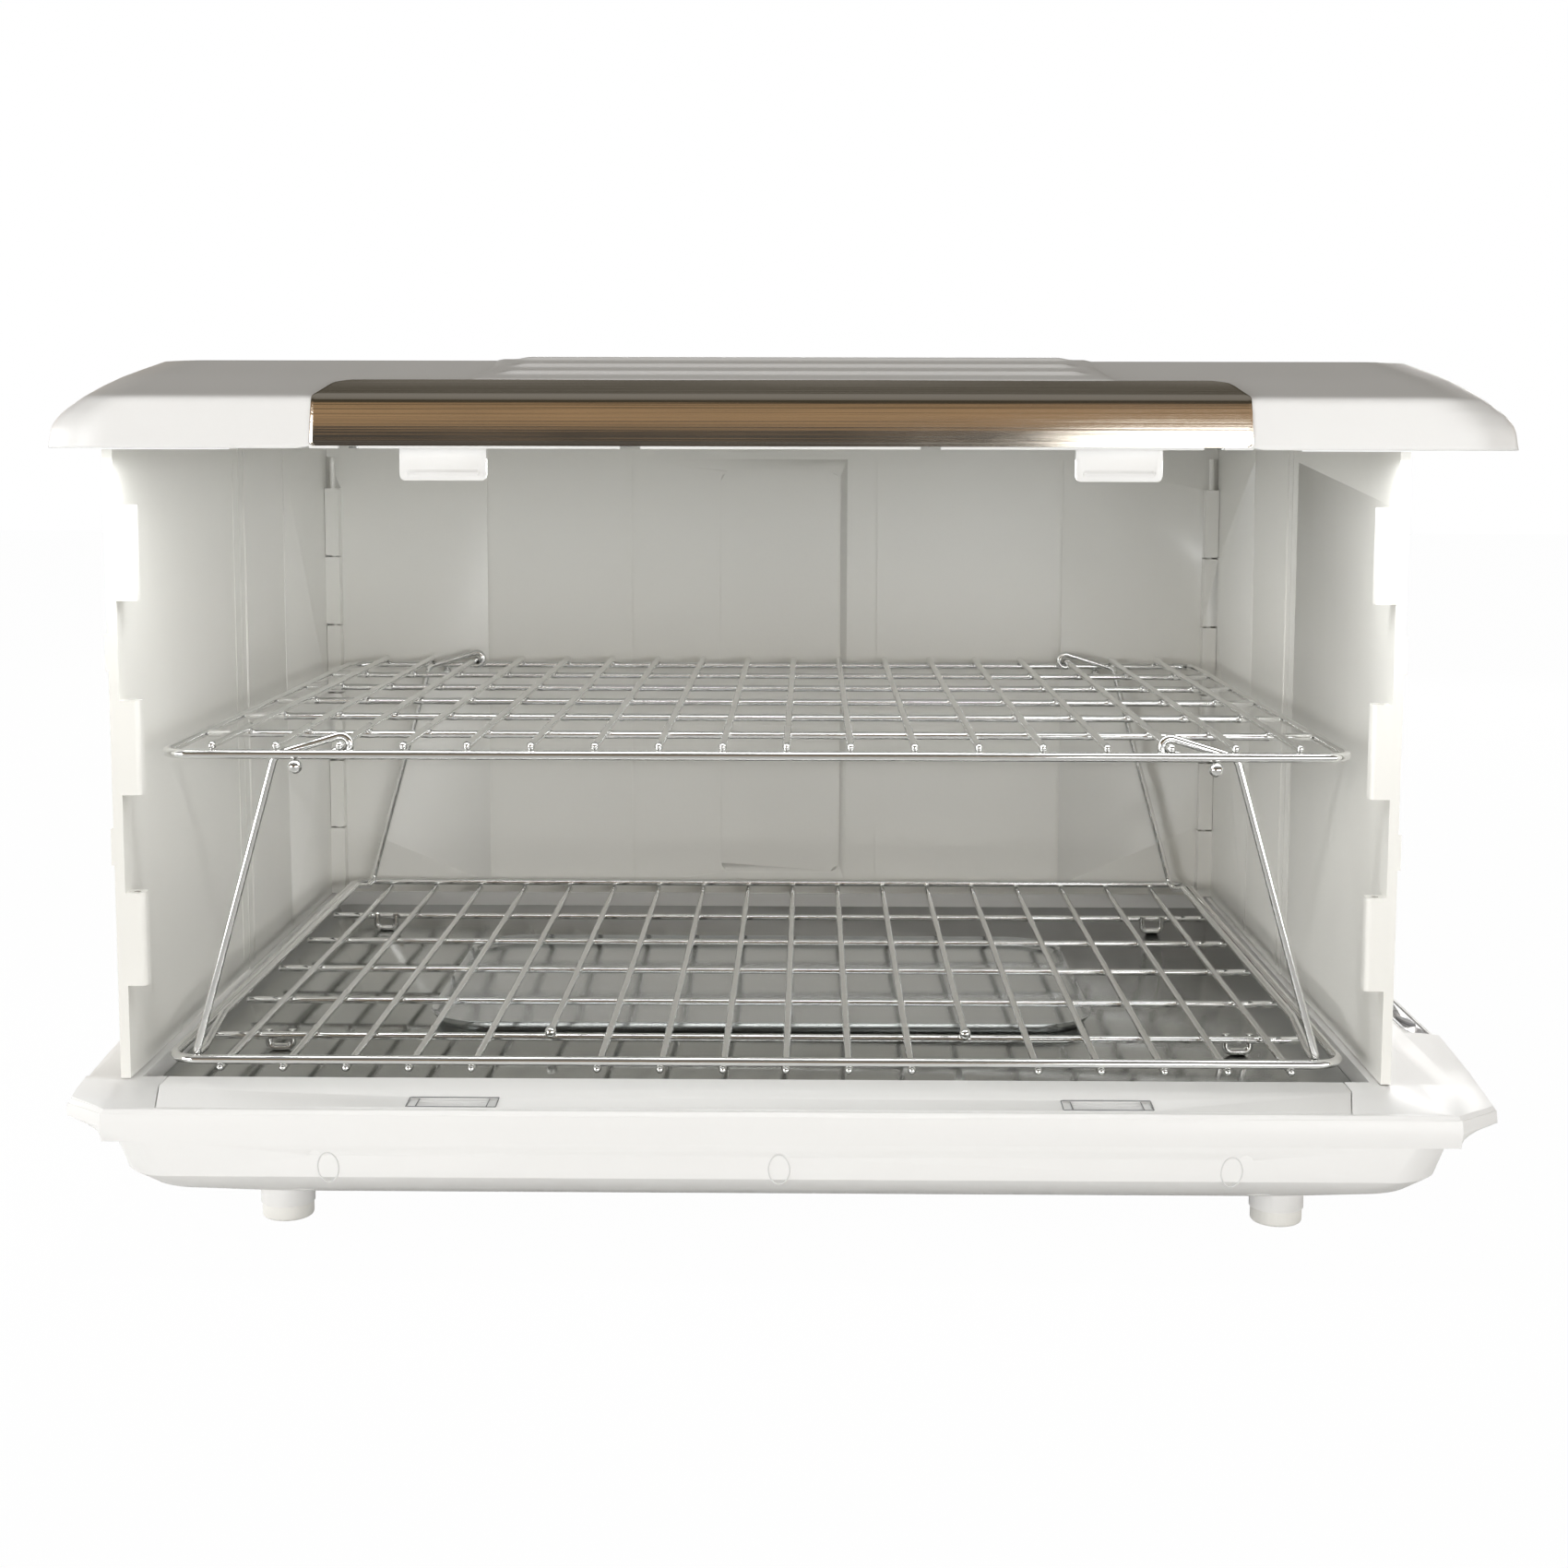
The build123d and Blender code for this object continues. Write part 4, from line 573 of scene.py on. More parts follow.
# Name, colour and bump of each finish, and the values of its group.
PLASTICS = {
    "body": ("moulded body", "body", 0.10, dict(Roughness=0.30, Drift=0.03)),
    "wall": ("moulded wall", "wall", 0.12, dict(Roughness=0.26, Drift=0.05, Grain_Scale=700.0)),
    "liner": ("moulded liner", (0.80, 0.795, 0.775), 0.12, dict(Roughness=0.36, Drift=0.05)),
    # catch grey is the catches' own colour; on the pan's ovals it is painted shade
    "catch": ("catch grey", (0.74, 0.74, 0.73), 0.1, dict(Roughness=0.35)),
    "line": ("slot shadow", (0.20, 0.20, 0.20), 0.1, dict(Roughness=0.5)),
    "foot": ("rubber foot", "foot", 0.3, dict(Roughness=0.62, Drift=0.06, Grain_Scale=1500.0)),
    "bezel": ("dark bezel", (0.035, 0.035, 0.04), 0.04, dict(coat=0.3, Roughness=0.16, Drift=0.1)),
    "button": ("button grey", (0.30, 0.30, 0.31), 0.2, dict(Roughness=0.48, Drift=0.05)),
    "display": ("display face", (0.20, 0.24, 0.19), 0.03, dict(Roughness=0.25)),
    "board": ("board laminate", (0.04, 0.17, 0.08), 0.1, dict(Roughness=0.3)),
    "pad": ("felted pad", (0.66, 0.60, 0.48), 0.6,
            dict(Roughness=0.8, Drift=0.3, Grain_Scale=260.0)),
}
METALS = {
    "trim": ("brushed trim", "trim", 0.16,
             dict(Roughness=0.07, Contrast=0.30, Stretch=(3.0, 1400.0, 1400.0))),
    "plate": ("heater sheet", "plate", 0.05,
              dict(Roughness=0.10, Contrast=0.12, Stretch=(4.0, 700.0, 700.0))),
    "tray": ("tray sheet", (0.58, 0.59, 0.59), 0.05,
             dict(Roughness=0.16, Contrast=0.10, Stretch=(4.0, 500.0, 500.0))),
    "chrome": ("plated wire", "chrome", 0.03,
               dict(Roughness=0.05, Contrast=0.10, Stretch=(160.0, 160.0, 160.0))),
    "steel": ("drawn steel", (0.50, 0.50, 0.50), 0.05,
              dict(Roughness=0.25, Contrast=0.2, Stretch=(300.0, 300.0, 300.0))),
    "brass": ("contact brass", (0.72, 0.55, 0.26), 0.05, dict(Roughness=0.22)),
}


@cache
def finish(look):
    """A named finish of the proofer, made on first use."""
    if look == "lens":
        return smoked_lens()
    maker = moulded_grain if look in PLASTICS else brushed_lines
    name, color, bump, values = (PLASTICS | METALS)[look]
    return grouped(maker, name, color, bump, **values)


# ---- camera and light ---------------------------------------------------------------
CAMERA_PLACE = (8.6, -845.3, 250.4)  # millimetres
CAMERA_LEFT, CAMERA_DOWN, CAMERA_ROLL = 0.636, 6.351, 0.12  # degrees
FRAME_SIDE, FRAME_SHIFT = 1700.0, -91.0  # pixels
COOL_WHITE = (0.97, 0.985, 1.0)
FLOOR_HALF = 6.0  # metres
FLOOR_GLOW = 0.985  # share of plain white in what the camera sees of the floor

# Lights under the lid: x, y, width and depth in metres, and the share of the fill's power.
UNDER_LID = {
    "inner fill": (CHAMBER_X * MM, -0.02, 0.36, 0.28, 0.12),
    "front eave fill": (0.0, -0.166, 0.40, 0.02, 1.4),
    "left eave fill": (-0.217, -0.02, 0.018, 0.32, 0.9),
    "right eave fill": (0.213, -0.02, 0.018, 0.32, 0.3),
}

# The surround from the ground up: its tone eases to each next one between two heights.
LOWEST_TONE = (0.55, 0.55, 0.54)
TONES = (
    (-0.10, 0.0, (0.10, 0.095, 0.09)),
    (0.09, 0.14, (0.58, 0.40, 0.24)),
    (0.22, 0.27, (0.085, 0.075, 0.055)),
    (0.506, 0.510, (0.25, 0.24, 0.22)),
    (0.62, 0.75, (0.33, 0.325, 0.315)),
)


def for_camera(tree, plain, seen, out, share=1.0):
    """Swaps a shader for another one in what the camera itself sees, by the given share."""
    rays = tree.nodes.new("ShaderNodeLightPath")
    mix = tree.nodes.new("ShaderNodeMixShader")
    factor = calc(tree, "MULTIPLY", rays.outputs["Is Camera Ray"], share)
    link(tree, (factor, mix.inputs[0]), (plain.outputs[0], mix.inputs[1]),
         (seen.outputs[0], mix.inputs[2]), (mix.outputs[0], out.inputs[0]))


class PROOFER_OT_stage(bpy.types.Operator):
    """Camera, floor, backdrop and soft studio light"""

    bl_idname = "proofer.stage"
    bl_label = "Stage"

    def execute(self, context):
        scene = context.scene
        values = scene.proofer_stage
        self.camera(scene, values.focal)
        scene.view_settings.view_transform = "Standard"
        self.surround(scene, values.world)
        self.floor()
        sides = values.sides
        boxes = (
            ("front softbox", (0.95, -1.45, 0.20), (0, -0.1, 0.2), 1.6, 0.40, 1.0),
            ("left softbox", (-1.5, -1.25, 0.26), (0, -0.1, 0.2), 1.0, 0.50, values.left),
            ("back softbox", (0.3, 1.7, 0.50), (0, 0.1, 0.15), 1.6, 0.40, values.rear),
            ("left side softbox", (-1.75, 0.45, 0.32), (0, 0.05, 0.12), 0.9, 0.40, 2.1 * sides),
            ("right side softbox", (1.75, 0.45, 0.32), (0, 0.05, 0.12), 0.9, 0.40, 0.35 * sides),
        )
        for name, place, target, width, height, share in boxes:
            self.softbox(name, place, target, width, height, values.key * share)
        under = LID_Z * MM - 0.003
        for name, (x, y, width, depth, share) in UNDER_LID.items():
            self.softbox(name, (x, y, under), (x, y - 0.0001, 0.0), width, depth,
                         values.fill * share)
        return {"FINISHED"}

    def camera(self, scene, focal):
        """Camera from its place, its three turns and the shift of its frame."""
        camera = bpy.data.cameras.new("view")
        camera.lens = focal
        camera.sensor_width = 36.0
        camera.shift_y = FRAME_SHIFT / FRAME_SIDE
        camera.clip_end = 20.0
        eye = linked("view", camera)
        turn = (Matrix.Rotation(math.radians(CAMERA_LEFT), 4, "Z")
                @ Matrix.Rotation(math.radians(90 - CAMERA_DOWN), 4, "X")
                @ Matrix.Rotation(math.radians(CAMERA_ROLL), 4, "Z"))
        eye.matrix_world = Matrix.Translation(Vector(CAMERA_PLACE) * MM) @ turn
        scene.camera = eye

    def softbox(self, name, place, target, width, height, power):
        """Soft rectangular light at a place in metres, turned towards its target."""
        light = bpy.data.lights.new(name, "AREA")
        light.shape = "RECTANGLE"
        light.size = width
        light.size_y = height
        light.energy = power
        light.color = COOL_WHITE
        turn = (Vector(target) - Vector(place)).to_track_quat("-Z", "Y").to_matrix().to_4x4()
        linked(name, light).matrix_world = Matrix.Translation(Vector(place)) @ turn

    def surround(self, scene, strength):
        """World whose tone depends on the height of a direction; the camera sees it white."""
        scene.world = bpy.data.worlds.new("studio")
        scene.world.use_nodes = True
        tree = scene.world.node_tree
        tree.nodes.clear()
        out = tree.nodes.new("ShaderNodeOutputWorld")
        place = tree.nodes.new("ShaderNodeTexCoord")
        split = tree.nodes.new("ShaderNodeSeparateXYZ")
        link(tree, (place.outputs["Generated"], split.inputs[0]))
        color = None
        for low_z, high_z, tone in TONES:
            height = add(tree, "ShaderNodeMapRange", interpolation_type="SMOOTHSTEP",
                         From_Min=low_z, From_Max=high_z)
            layer = add(tree, "ShaderNodeMix", data_type="RGBA")
            layer.inputs["A"].default_value = (*LOWEST_TONE, 1)
            layer.inputs["B"].default_value = (*tone, 1)
            if color is not None:
                link(tree, (color, layer.inputs["A"]))
            link(tree, (split.outputs["Z"], height.inputs["Value"]),
                 (height.outputs["Result"], layer.inputs["Factor"]))
            color = layer.outputs["Result"]
        soft = add(tree, "ShaderNodeBackground", Strength=strength)
        link(tree, (color, soft.inputs["Color"]))
        white = add(tree, "ShaderNodeBackground", Strength=1.0, Color=(1, 1, 1, 1))
        for_camera(tree, soft, white, out)

    def floor(self):
        """Pale floor that the camera sees as nearly plain white."""
        size = FLOOR_HALF
        mesh = bpy.data.meshes.new("floor")
        mesh.from_pydata([(-size, -size, 0), (size, -size, 0), (size, size, 0), (-size, size, 0)],
                         [], [(0, 1, 2, 3)])
        material = bpy.data.materials.new("pale floor")
        material.use_nodes = True
        tree = material.node_tree
        tree.nodes.clear()
        out = tree.nodes.new("ShaderNodeOutputMaterial")
        matt = add(tree, "ShaderNodeBsdfDiffuse", Color=(0.82, 0.82, 0.81, 1))
        glow = add(tree, "ShaderNodeEmission", Strength=1.0, Color=(1, 1, 1, 1))
        for_camera(tree, matt, glow, out, FLOOR_GLOW)
        mesh.materials.append(material)
        linked("floor", mesh)


# ---- the proofer ---------------------------------------------------------------------
def refinish(nodes, sharp):
    """Gives nodes that keep their own shape a finish each and smooth shading."""
    for node, look in nodes.items():
        shade(frame["nodes"][node].data, look, sharp=sharp)


class PROOFER_OT_hidden_parts(bpy.types.Operator):
    """Finishes for the inner nodes that keep their own shape"""

    bl_idname = "proofer.hidden_parts"
    bl_label = "Inner parts"

    def execute(self, context):
        refinish({
            "heating_element": "steel", "insulation_pad": "pad", "heat_shield": "plate",
            "temperature_sensor": "brass", "control_board": "board", "display_module": "display",
            "inlet_pins": "brass", "base_screws": "steel", "lid_screws": "steel",
            "left_fold_pin": "wall", "right_fold_pin": "wall", "corner_pins": "wall",
        }, sharp=30)
        return {"FINISHED"}


def face_back(z):
    """How far the lid's upright face stands back at a height: it leans evenly."""
    return FACE_INSET + FACE_LEAN * (z - LID_Z) / FACE_HEIGHT


def lid_keys():
    """Rows of z, front inset and side inset that run up the outside of the lid."""
    face = [(LID_Z + up, face_back(LID_Z + up), inset) for up, inset in FACE_ROWS]
    return face + [(LID_Z + up, CREST_BACK + back, inset) for up, back, inset in FACET_ROWS]


def lid_height(y):
    """Height of the lid's front facet and flat top at a place along Y."""
    return CREST_Z + np.clip((y - CREST_Y) / FACET_DEPTH, 0, 1) * (LID_TOP - CREST_Z)


class PROOFER_OT_lid(bpy.types.Operator):
    """Lid shell, its lip, its raised ribbed middle and its liner"""

    bl_idname = "proofer.lid"
    bl_label = "Lid"

    def execute(self, context):
        self.shell(context.scene.proofer_sizes.lid_round)
        self.lip()
        self.middle()
        moulded_copy("lid_liner", "lid_lining", "liner_white", "liner", 0.3)
        for side in ("left", "right"):
            moulded_copy("lid_tab_" + side, "lid_catch_" + side, "liner_white", "body", 0.4)
        return {"FINISHED"}

    def shell(self, spacing):
        """Rings up the outside at the key insets, then shrinking rings that close the top."""
        under = [(LID_Z + up, face_back(LID_Z) + inset, inset) for up, inset in LIP_ROWS]
        keys = np.concatenate([np.array(under), dense(lid_keys(), spacing, 3)])
        keys[len(under), 0] += LIP_EDGE
        height, end, side = keys.T
        rings = softened_ring(outline(side, end), 2)
        heights = np.broadcast_to(height[:, None, None], rings.shape[:2] + (1,))
        points = np.concatenate([rings, heights], -1)
        shrink = np.array([0.97, 0.9, 0.8, 0.65, 0.45, 0.2])[:, None, None]
        tops = np.broadcast_to(points[-1], (len(shrink),) + points[-1].shape)
        tops = np.concatenate([tops[..., :2] * shrink, tops[..., 2:]], -1)
        points = np.concatenate([points, tops])
        x, y, z = np.moveaxis(points, -1, 0)
        under_trim = (np.abs(x) < TRIM_HALF + 0.2) & (y < -150) & (z < TRIM_FOOT)
        points[..., 2] = np.where(under_trim, TRIM_FOOT, z)
        rows, cols = points.shape[:2]
        faces = grid_faces(rows, cols, wrap_cols=True).tolist()
        faces += cap(points[-1], (rows - 1) * cols).tolist()
        flat = np.concatenate([points.reshape(-1, 3), [[0, 0, float(points[-1, 0, 2])]]])
        piece("lid_skin", flat, faces, "lid", "body_white", "body", ("lid_shell",), recalc=False)

    def lip(self):
        """Small rounded bars of the lid's edge that show under the trim, between its notches."""
        notches = [-129.6, -123.6, -47.0, -41.0, 41.0, 47.0, 123.6, 129.6]
        bounds = [-TRIM_HALF, *notches, TRIM_HALF]
        section = np.array([(0.1, 0.9), (0.0, 0.45), (0.25, 0.05), (2.2, 0.0), (2.4, 0.9)])
        section += [FACE_INSET - HALF_DEPTH, LID_Z]
        count = len(section)
        bars = []
        for start, end in zip(bounds[::2], bounds[1::2]):
            points = np.column_stack([np.repeat([start, end], count), np.tile(section, (2, 1))])
            ends = [list(range(count)), list(range(count, 2 * count))[::-1]]
            bars.append((points, grid_faces(2, count, wrap_cols=True).tolist() + ends))
        piece("lid_lip", *merge(bars), "lid", "body_white", "body", smooth=False)

    def middle(self):
        """Raised middle: the lid's own height plus a step at its rim and low ribs along X.

        The step and each rib rise by an eased ramp, and the panel draws in as it goes back.
        """
        rows, cols = 150, 121
        front, back = -165.6, -92.0
        front_half, draw_in, shift, sunk = 99.0, 6.0, 3.5, 0.25
        step_front, step_loss = 0.9, 0.45
        rib_height, rib_half, rib_end = 0.75, 2.6, 0.93
        gx, gy = np.meshgrid(np.linspace(-1, 1, cols), np.linspace(front, back, rows))
        outward = np.abs(gx)
        t = (gy - front) / (back - front)
        half = front_half - draw_in * np.clip(t * 4.0, 0, 1)
        rim = ease((1 - outward) / 0.03) * ease((gy - front) / 1.6) * ease((back - gy) / 3.0)
        rise = (step_front - step_loss * t) * rim
        for place in (-156.5, -147.5, -138.5, -127.0, -118.0, -109.0, -100.0):
            across = ease(1 - np.abs(gy - place) / rib_half)
            rise = rise + rib_height * across * ease((rib_end - outward) / 0.05)
        points = np.stack([gx * half + shift, gy, lid_height(gy) - sunk + rise], -1)
        piece("lid_middle", points.reshape(-1, 3), grid_faces(rows, cols).tolist(), "lid",
              "body_white", "body", ("lid_ribs",), recalc=False)


class PROOFER_OT_trim(bpy.types.Operator):
    """Brushed trim folded over the lid's front face and facet"""

    bl_idname = "proofer.trim"
    bl_label = "Trim"

    def execute(self, context):
        """A section of y and z with a rounded fold, carried along X; its ends draw in at the top.

        The sheet stands off the lid by a small lift, which has a slight wave on the facet.
        """
        slope = (LID_TOP - CREST_Z) / FACET_DEPTH
        foot_y = face_back(TRIM_FOOT) - HALF_DEPTH
        face = [(foot_y + (CREST_Y - foot_y) * v ** 2, TRIM_FOOT + (CREST_Z - TRIM_FOOT) * v, 0)
                for v in np.linspace(0, 1, 30)]
        end = (CREST_Y + TRIM_ON_FACET, CREST_Z + TRIM_ON_FACET * slope, 0)
        section = dense(face + [end], 0.5, 4)[:, :2]
        along = run_length(section)
        normal = np.stack([-np.gradient(section[:, 1]), np.gradient(section[:, 0])], -1)
        normal /= np.linalg.norm(normal, axis=1)[:, None]
        fold = 14.6  # length of the section up to its fold
        face_draw, facet_draw, corner_draw, foot_draw = 0.8, 3.6, 4.5, 1.2
        t = np.clip((along - fold) / (along[-1] - fold), 0, 1)
        half = TRIM_HALF - face_draw * np.clip(along / 15, 0, 1) - facet_draw * t
        half -= corner_draw * np.clip((t - 0.72) / 0.28, 0, 1) ** 3
        half -= foot_draw * np.clip(1 - along, 0, 1) ** 2
        u = np.linspace(-1, 1, 220)
        u = np.sign(u) * (1 - (1 - np.abs(u)) ** 1.3)
        lift = np.where(np.abs(u) > 0.9975, 0.25, 0.6)
        up = np.clip((along[:, None] - 22.0) / 9.0, 0, 1.2)
        wave = up ** 2 * (0.10 + 0.05 * np.sin(u[None] * 7.0 + 0.6))
        x = (half[:, None] * u[None])[..., None]
        inner = np.broadcast_to(section[:, None], x.shape[:2] + (2,))
        outer = inner + normal[:, None] * (lift[None] + wave)[..., None]
        rows, cols = x.shape[:2]
        front = grid_faces(rows, cols)
        ring = np.concatenate([
            np.arange(cols), np.arange(1, rows) * cols + cols - 1,
            (rows - 1) * cols + np.arange(cols - 2, -1, -1), np.arange(rows - 2, 0, -1) * cols])
        after = np.roll(ring, -1)
        sides = np.stack([after, ring, ring + rows * cols, after + rows * cols], -1)
        faces = np.concatenate([front, front[:, ::-1] + rows * cols, sides]).tolist()
        points = [np.concatenate([x, sheet], -1).reshape(-1, 3) for sheet in (outer, inner)]
        piece("trim_sheet", np.concatenate(points), faces, "lid", "trim_steel", "trim",
              ("trim_plate",), sharp=50)
        return {"FINISHED"}


class PROOFER_OT_base(bpy.types.Operator):
    """Base moulding, deck, front rail, catches and feet"""

    bl_idname = "proofer.base"
    bl_label = "Base"

    def execute(self, context):
        width = context.scene.proofer_sizes.edge_round
        moulded_copy("base_pan", "pan_moulding", "body_white", "body", width, reshape=fuller_bowl)
        moulded_copy("base_deck", "deck_moulding", "body_white", "body", 0.3)
        moulded_copy("front_rail", "rail_moulding", "body_white", "body", 0.25)
        moulded_copy("latch_catches", "catch_bars", "catch_grey", "catch", 0.12)
        for corner in ("front_left", "front_right", "rear_left", "rear_right"):
            moulded_copy("foot_" + corner, "cap_" + corner, "foot_rubber", "foot", 0.3)
        self.ovals()
        self.slot_lines()
        return {"FINISHED"}

    def ovals(self):
        """Outline of each shallow oval: an ellipse on the bowl's sloping front, as a fine tube.
        Its darker grey is painted shade along the oval's edge; the tube itself stands a little
        proud.
        """
        below_rim, half_height, half_width = 8.2, 4.9, 3.2
        slope = 2.4 / 11.5
        turn = np.linspace(0, 2 * math.pi, 48, endpoint=False)
        z = BOWL_TOP - below_rim + half_height * np.sin(turn)
        y = FRONT_Y + slope * (BOWL_TOP - z)
        parts = []
        for x in (-137.0, 0.0, 137.0):
            path = np.stack([x + half_width * np.cos(turn), y, z], -1)
            parts.append(tube(path, 0.22, 6, reference=(0, 1, 0.2), closed=True))
        # the catch grey, darker than the body, is painted shade along each oval's edge
        piece("pan_ovals", *merge(parts), "base", "catch_grey", "catch")

    def slot_lines(self):
        """Painted shade of the gap round each latch slot: a dark rectangle on the rail's slope, and
        its end marks.
        """
        slot_x, half_length, end_mark, mark_z = 100.0, 13.7, 2.9, 51.45
        slope_y, slope_z, slope_depth, slope_rise = FRONT_Y + 3.2, 51.3, 16.8, 1.1
        y0, y1 = FRONT_Y + 4.8, FRONT_Y + 13.0
        parts = []
        for x in (-slot_x, slot_x):
            x0, x1 = x - half_length, x + half_length
            corners = np.array([(x0, y0), (x1, y0), (x1, y1), (x0, y1), (x0, y0)])
            spots = np.linspace(0, run_length(corners)[-1], 72, endpoint=False)
            xy = laid_out(corners, spots)
            path = np.column_stack([xy, slope_z + slope_rise * (xy[:, 1] - slope_y) / slope_depth])
            parts.append(tube(path, 0.2, 6, reference=(0, 0, 1), closed=True))
            for mark in (x0 + end_mark, x1 - end_mark):
                ends = np.array([(mark, y0, mark_z), (mark, y1, mark_z)])
                parts.append(tube(ends, 0.16, 6, reference=(0, 0, 1)))
        # dark tubes of painted shade where the gap round each slot falls in shadow
        piece("slot_gap_shade", *merge(parts), "base", "catch_grey", "line")


class PROOFER_OT_walls(bpy.types.Operator):
    """Folding walls, and the two beads inside each rear side wall"""

    bl_idname = "proofer.walls"
    bl_label = "Walls"

    def execute(self, context):
        for wall in ("back", "left_rear", "right_rear", "left_front", "right_front"):
            obj, body = merged_copy(wall + "_wall", wall + "_panel")
            dress(obj, body, "wall_white", "wall", (wall + "_wall",), sharp=12)
        top = LINER_FOOT - 1.0
        beads = []
        for node, side in (("left_rear_wall", -1), ("right_rear_wall", 1)):
            x, foot = CHAMBER_X + side * CHAMBER_HALF, low(node)[2] + 3.0
            for y in (4.9, 68.8):
                beads.append(tube([(x, y, foot), (x, y, top)], 0.32, 8, reference=(0, 1, 0.1)))
        piece("wall_beads", *merge(beads), "walls", "wall_white", "wall")
        return {"FINISHED"}


class PROOFER_OT_racks(bpy.types.Operator):
    """Plated wire racks, their feet and balls, and the folding legs"""

    bl_idname = "proofer.racks"
    bl_label = "Racks"

    def execute(self, context):
        sizes = context.scene.proofer_sizes
        self.rack("shelf", "shelf", ("shelf_frame", "shelf_wires", "shelf_cross_wires"), sizes)
        self.rack("lower_rack", "base", ("lower_frame", "lower_wires", "lower_cross_wires"), sizes,
                  short=(5, 12))
        self.legs(sizes.wire_sides)
        refinish(dict.fromkeys(("shelf_balls", "lower_wire_balls", "lower_feet"), "chrome"), 60)
        return {"FINISHED"}

    def rack(self, name, body, nodes, sizes, short=()):
        """A closed round-cornered frame, straight wires along Y, and cross wires along X.

        The wires numbered in short start at the first cross wire instead of the frame.
        """
        frame_node, wire_node, cross_node = nodes
        self.frame_wire(name, body, frame_node, sizes.wire_sides + 2)
        near, far = low(wire_node), high(wire_node)
        radius, z = (far[2] - near[2]) / 2, (far[2] + near[2]) / 2
        left, right = low(cross_node), high(cross_node)
        cross_z = (left[2] + right[2]) / 2
        ys = np.linspace(left[1] + radius, right[1] - radius, CROSS_WIRES)
        xs = np.linspace(near[0] + radius, far[0] - radius, WIRES)
        parts = []
        for index, x in enumerate(xs):
            start = ys[0] - radius if index in short else near[1]
            welds = [y - start for y in ys] + [far[1] - END_WELD - start]
            welds += [] if index in short else [END_WELD]
            parts.append(rod((x, start, z), (x, far[1], z), radius, welds, sizes))
        self.joined(name + "_wire_set", parts, body, wire_node)
        welds = [x - left[0] for x in xs]
        parts = [rod((left[0], y, cross_z), (right[0], y, cross_z), radius, welds, sizes)
                 for y in ys]
        self.joined(name + "_cross_set", parts, body, cross_node)

    def frame_wire(self, name, body, node, sides):
        """Round wire along a rectangle whose corners are quarter circles."""
        lo, hi = low(node), high(node)
        radius, z = (hi[2] - lo[2]) / 2, (hi[2] + lo[2]) / 2
        middle_x = (lo[0] + hi[0]) / 2
        half_x = (hi[0] - lo[0]) / 2 - radius - FRAME_CORNER
        half_y = (hi[1] - lo[1]) / 2 - radius - FRAME_CORNER
        quarter = np.linspace(0, math.pi / 2, 9)
        ring = []
        for k, (sx, sy) in enumerate(((1, -1), (1, 1), (-1, 1), (-1, -1))):
            a = quarter + (k - 1) * math.pi / 2
            ring.append(np.stack([middle_x + sx * half_x + FRAME_CORNER * np.cos(a),
                                  sy * half_y + FRAME_CORNER * np.sin(a), np.full(9, z)], -1))
        ring = np.concatenate(ring + [ring[0][:1]])
        length = run_length(ring)
        spots = np.unique(np.concatenate([length[:-1], np.arange(0, length[-1], 6.0)]))
        points, faces = tube(laid_out(ring, spots), radius, sides, closed=True)
        piece(name + "_frame_wire", points, faces, body, "rack_chrome", "chrome", (node,))

    def joined(self, name, parts, body, node):
        """One chromed piece from several wires."""
        piece(name, *merge(parts), body, "rack_chrome", "chrome", (node,), sharp=60)

    def legs(self, sides):
        """A leg's path: hook arc, arm, knee, foot and the raised bar, the same front and back."""
        leg_radius, hook_radius, hook_turn = 1.3, 2.85, math.radians(265.0)
        hook, knee = np.array([-130.0, 158.0]), np.array([-151.0, 154.6])
        hook_y, foot_y = 145.4, 146.5
        foot_x, foot_z, bar_z = -178.2, 57.9, 63.0
        foot_length, slope_end = 12.0, 36.0
        knee_bend, ankle_bend, bar_bend = 4.0, 3.0, 5.0
        reach = np.linalg.norm(knee - hook)
        toward = math.atan2(knee[1] - hook[1], knee[0] - hook[0])
        leave = toward + math.atan2(hook_radius, math.sqrt(reach ** 2 - hook_radius ** 2))
        turns = leave - math.pi / 2 - hook_turn * np.linspace(1, 0, 60)
        arc = np.stack([hook[0] + hook_radius * np.cos(turns), np.full(60, -hook_y),
                        hook[1] + hook_radius * np.sin(turns)], -1)
        near = [arc[-1], (knee[0], -hook_y, knee[1]), (foot_x, -foot_y, foot_z),
                (foot_x, foot_length - foot_y, foot_z), (foot_x, slope_end - foot_y, bar_z)]
        far = [(x, -y, z) for x, y, z in near[::-1]]
        bends = [knee_bend, ankle_bend, bar_bend, bar_bend]
        run = bent_path(near + far, bends + bends[::-1])
        path = distinct(np.concatenate([arc[:-1], run, (arc * [1, -1, 1])[::-1][1:]]))
        length = run_length(path)
        edge = np.minimum(length, length[-1] - length)
        reach = np.clip(1 - edge / leg_radius, 0, 0.98)
        radii = leg_radius * np.sqrt(1 - reach ** 2)
        for side, sign in (("left", 1), ("right", -1)):
            placed = path * [sign, 1, 1] + [CHAMBER_X, 0, 0]
            points, faces = tube(placed, radii, sides, reference=(0.35 * sign, 1.0, 0.22))
            piece(side + "_leg_wire", points, faces, side + "_leg", "rack_chrome",
                  "chrome", (side + "_leg",), sharp=60)


class PROOFER_OT_heater(bpy.types.Operator):
    """Heater plate and water tray"""

    bl_idname = "proofer.heater"
    bl_label = "Heater and tray"

    def execute(self, context):
        moulded_copy("heater_plate", "heater_sheet", "heater_aluminium", "plate", 0.2)
        moulded_copy("water_tray", "tray_pressing", "tray_metal", "tray", 0.2)
        return {"FINISHED"}


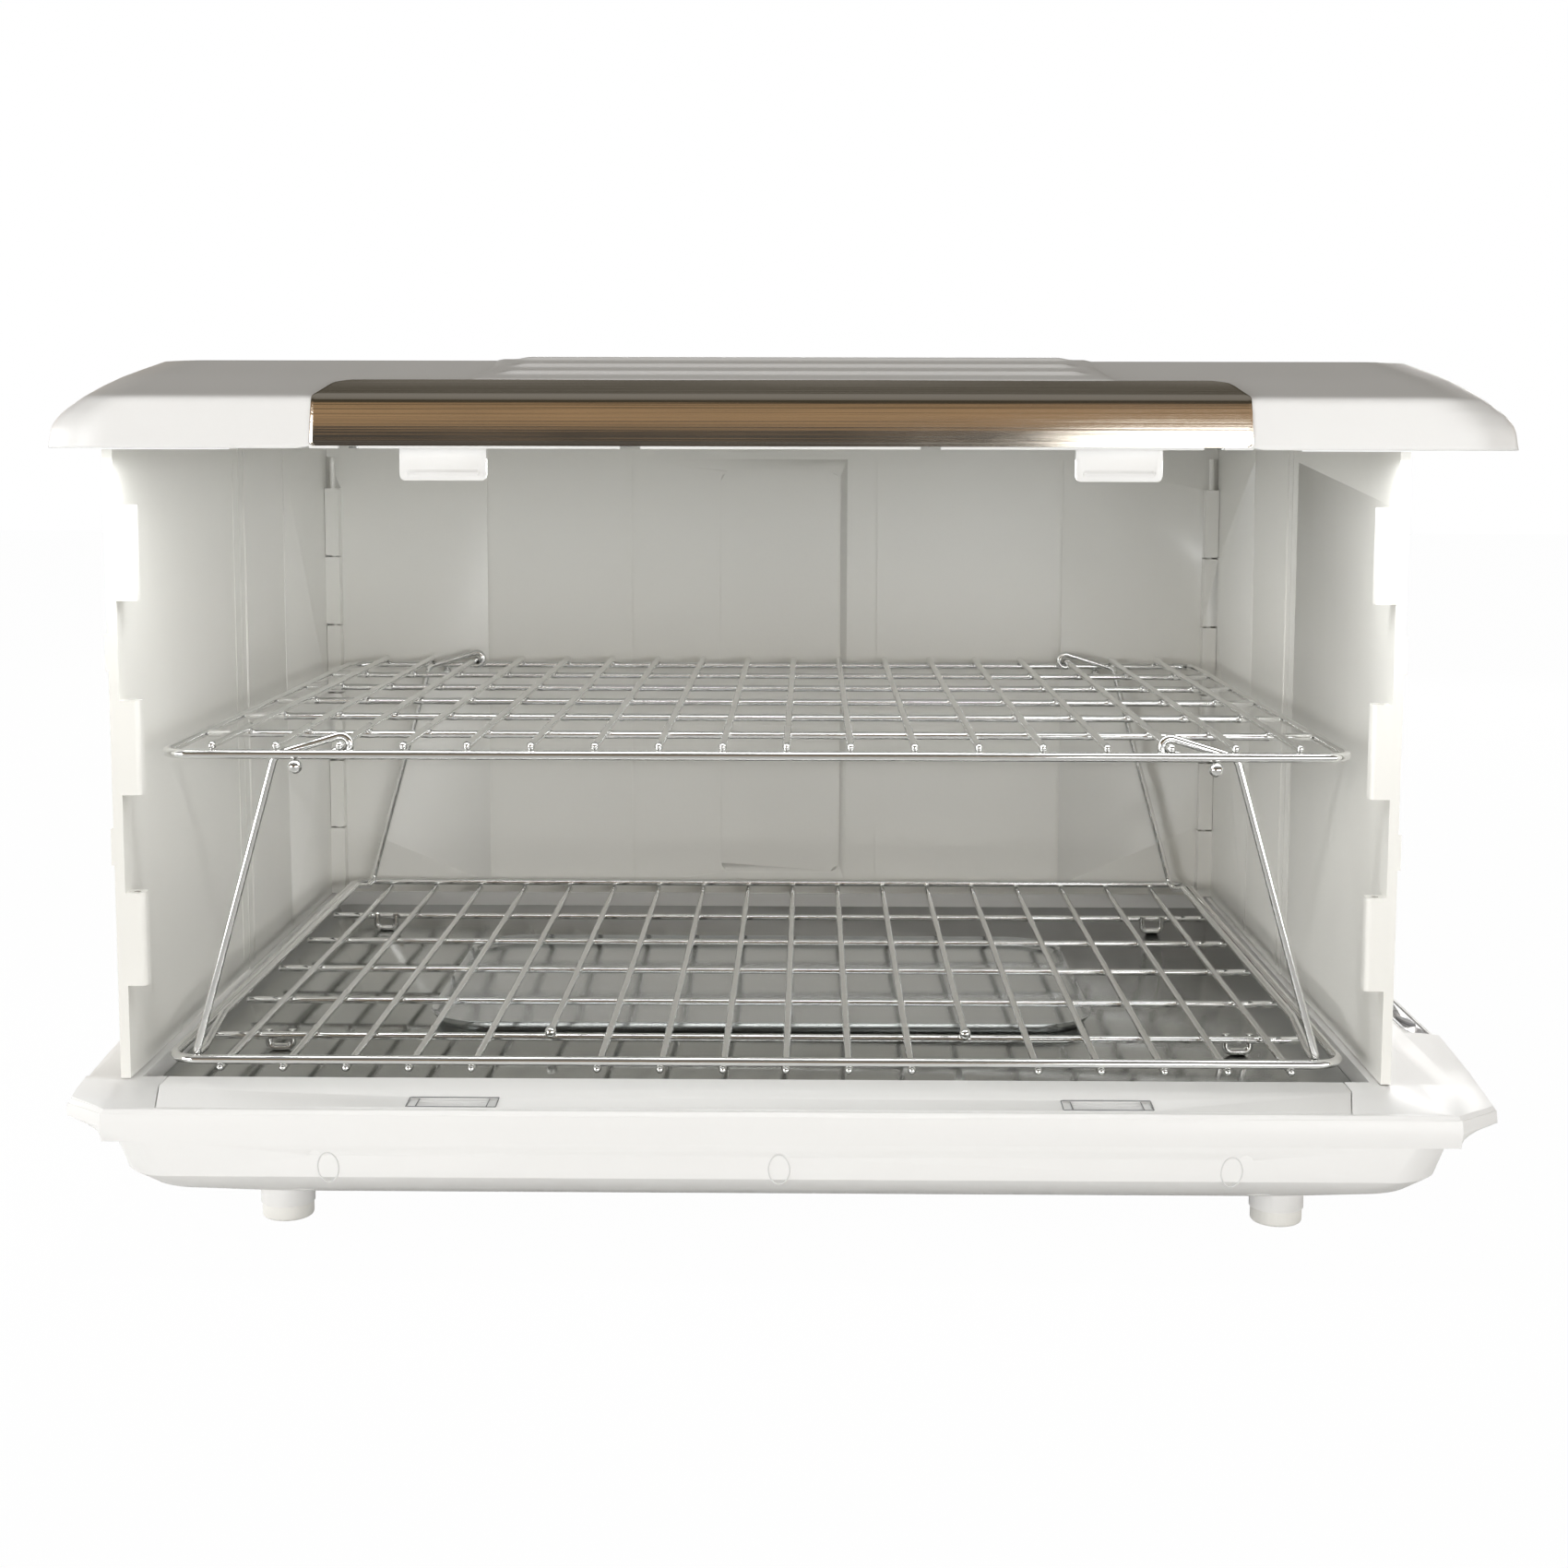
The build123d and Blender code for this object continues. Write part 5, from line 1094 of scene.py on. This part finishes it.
class PROOFER_OT_controls(bpy.types.Operator):
    """Control inlay, lens, buttons and power inlet"""

    bl_idname = "proofer.controls"
    bl_label = "Controls"

    def execute(self, context):
        moulded_copy("control_bezel", "bezel_inlay", "bezel_dark", "bezel", 0.15)
        moulded_copy("display_lens", "lens_window", "lens_clear", "lens", 0.1)
        moulded_copy("power_inlet", "inlet_socket", "bezel_dark", "bezel", 0.3)
        for node in ("power_button", "up_button", "down_button", "timer_button"):
            moulded_copy(node, node + "_cap", "button_grey", "button", 0.1, angle=50)
        return {"FINISHED"}


class PROOFER_PT_panel(bpy.types.Panel):
    """Lists the proofer's steps"""

    bl_label = "Folding Dough Proofer"
    bl_idname = "PROOFER_PT_panel"
    bl_space_type = "VIEW_3D"
    bl_region_type = "UI"
    bl_category = "Proofer"

    def draw(self, context):
        column = self.layout.column()
        for step in STEPS:
            column.operator(step)
        for group in VALUES:
            values = getattr(context.scene, group)
            for name in values.__annotations__:
                column.prop(values, name)


STEPS = ("proofer.stage", "proofer.hidden_parts", "proofer.lid", "proofer.trim", "proofer.base",
         "proofer.walls", "proofer.racks", "proofer.heater", "proofer.controls")
VALUES = {"proofer_sizes": ProoferSizes, "proofer_colours": ProoferColours,
          "proofer_stage": ProoferStage}
CLASSES = (*VALUES.values(), PROOFER_OT_stage, PROOFER_OT_hidden_parts, PROOFER_OT_lid,
           PROOFER_OT_trim, PROOFER_OT_base, PROOFER_OT_walls, PROOFER_OT_racks,
           PROOFER_OT_heater, PROOFER_OT_controls, PROOFER_PT_panel)


def register():
    """Adds the proofer's values, steps and panel to Blender."""
    for cls in CLASSES:
        bpy.utils.register_class(cls)
    for name, cls in VALUES.items():
        setattr(bpy.types.Scene, name, PointerProperty(type=cls))


def unregister():
    """Takes them out again, in the opposite order."""
    for name in VALUES:
        delattr(bpy.types.Scene, name)
    for cls in reversed(CLASSES):
        bpy.utils.unregister_class(cls)


def main():
    """Registers the add-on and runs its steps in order."""
    register()
    for step in STEPS:
        category, name = step.split(".")
        getattr(getattr(bpy.ops, category), name)()


if __name__ == "__main__":
    main()
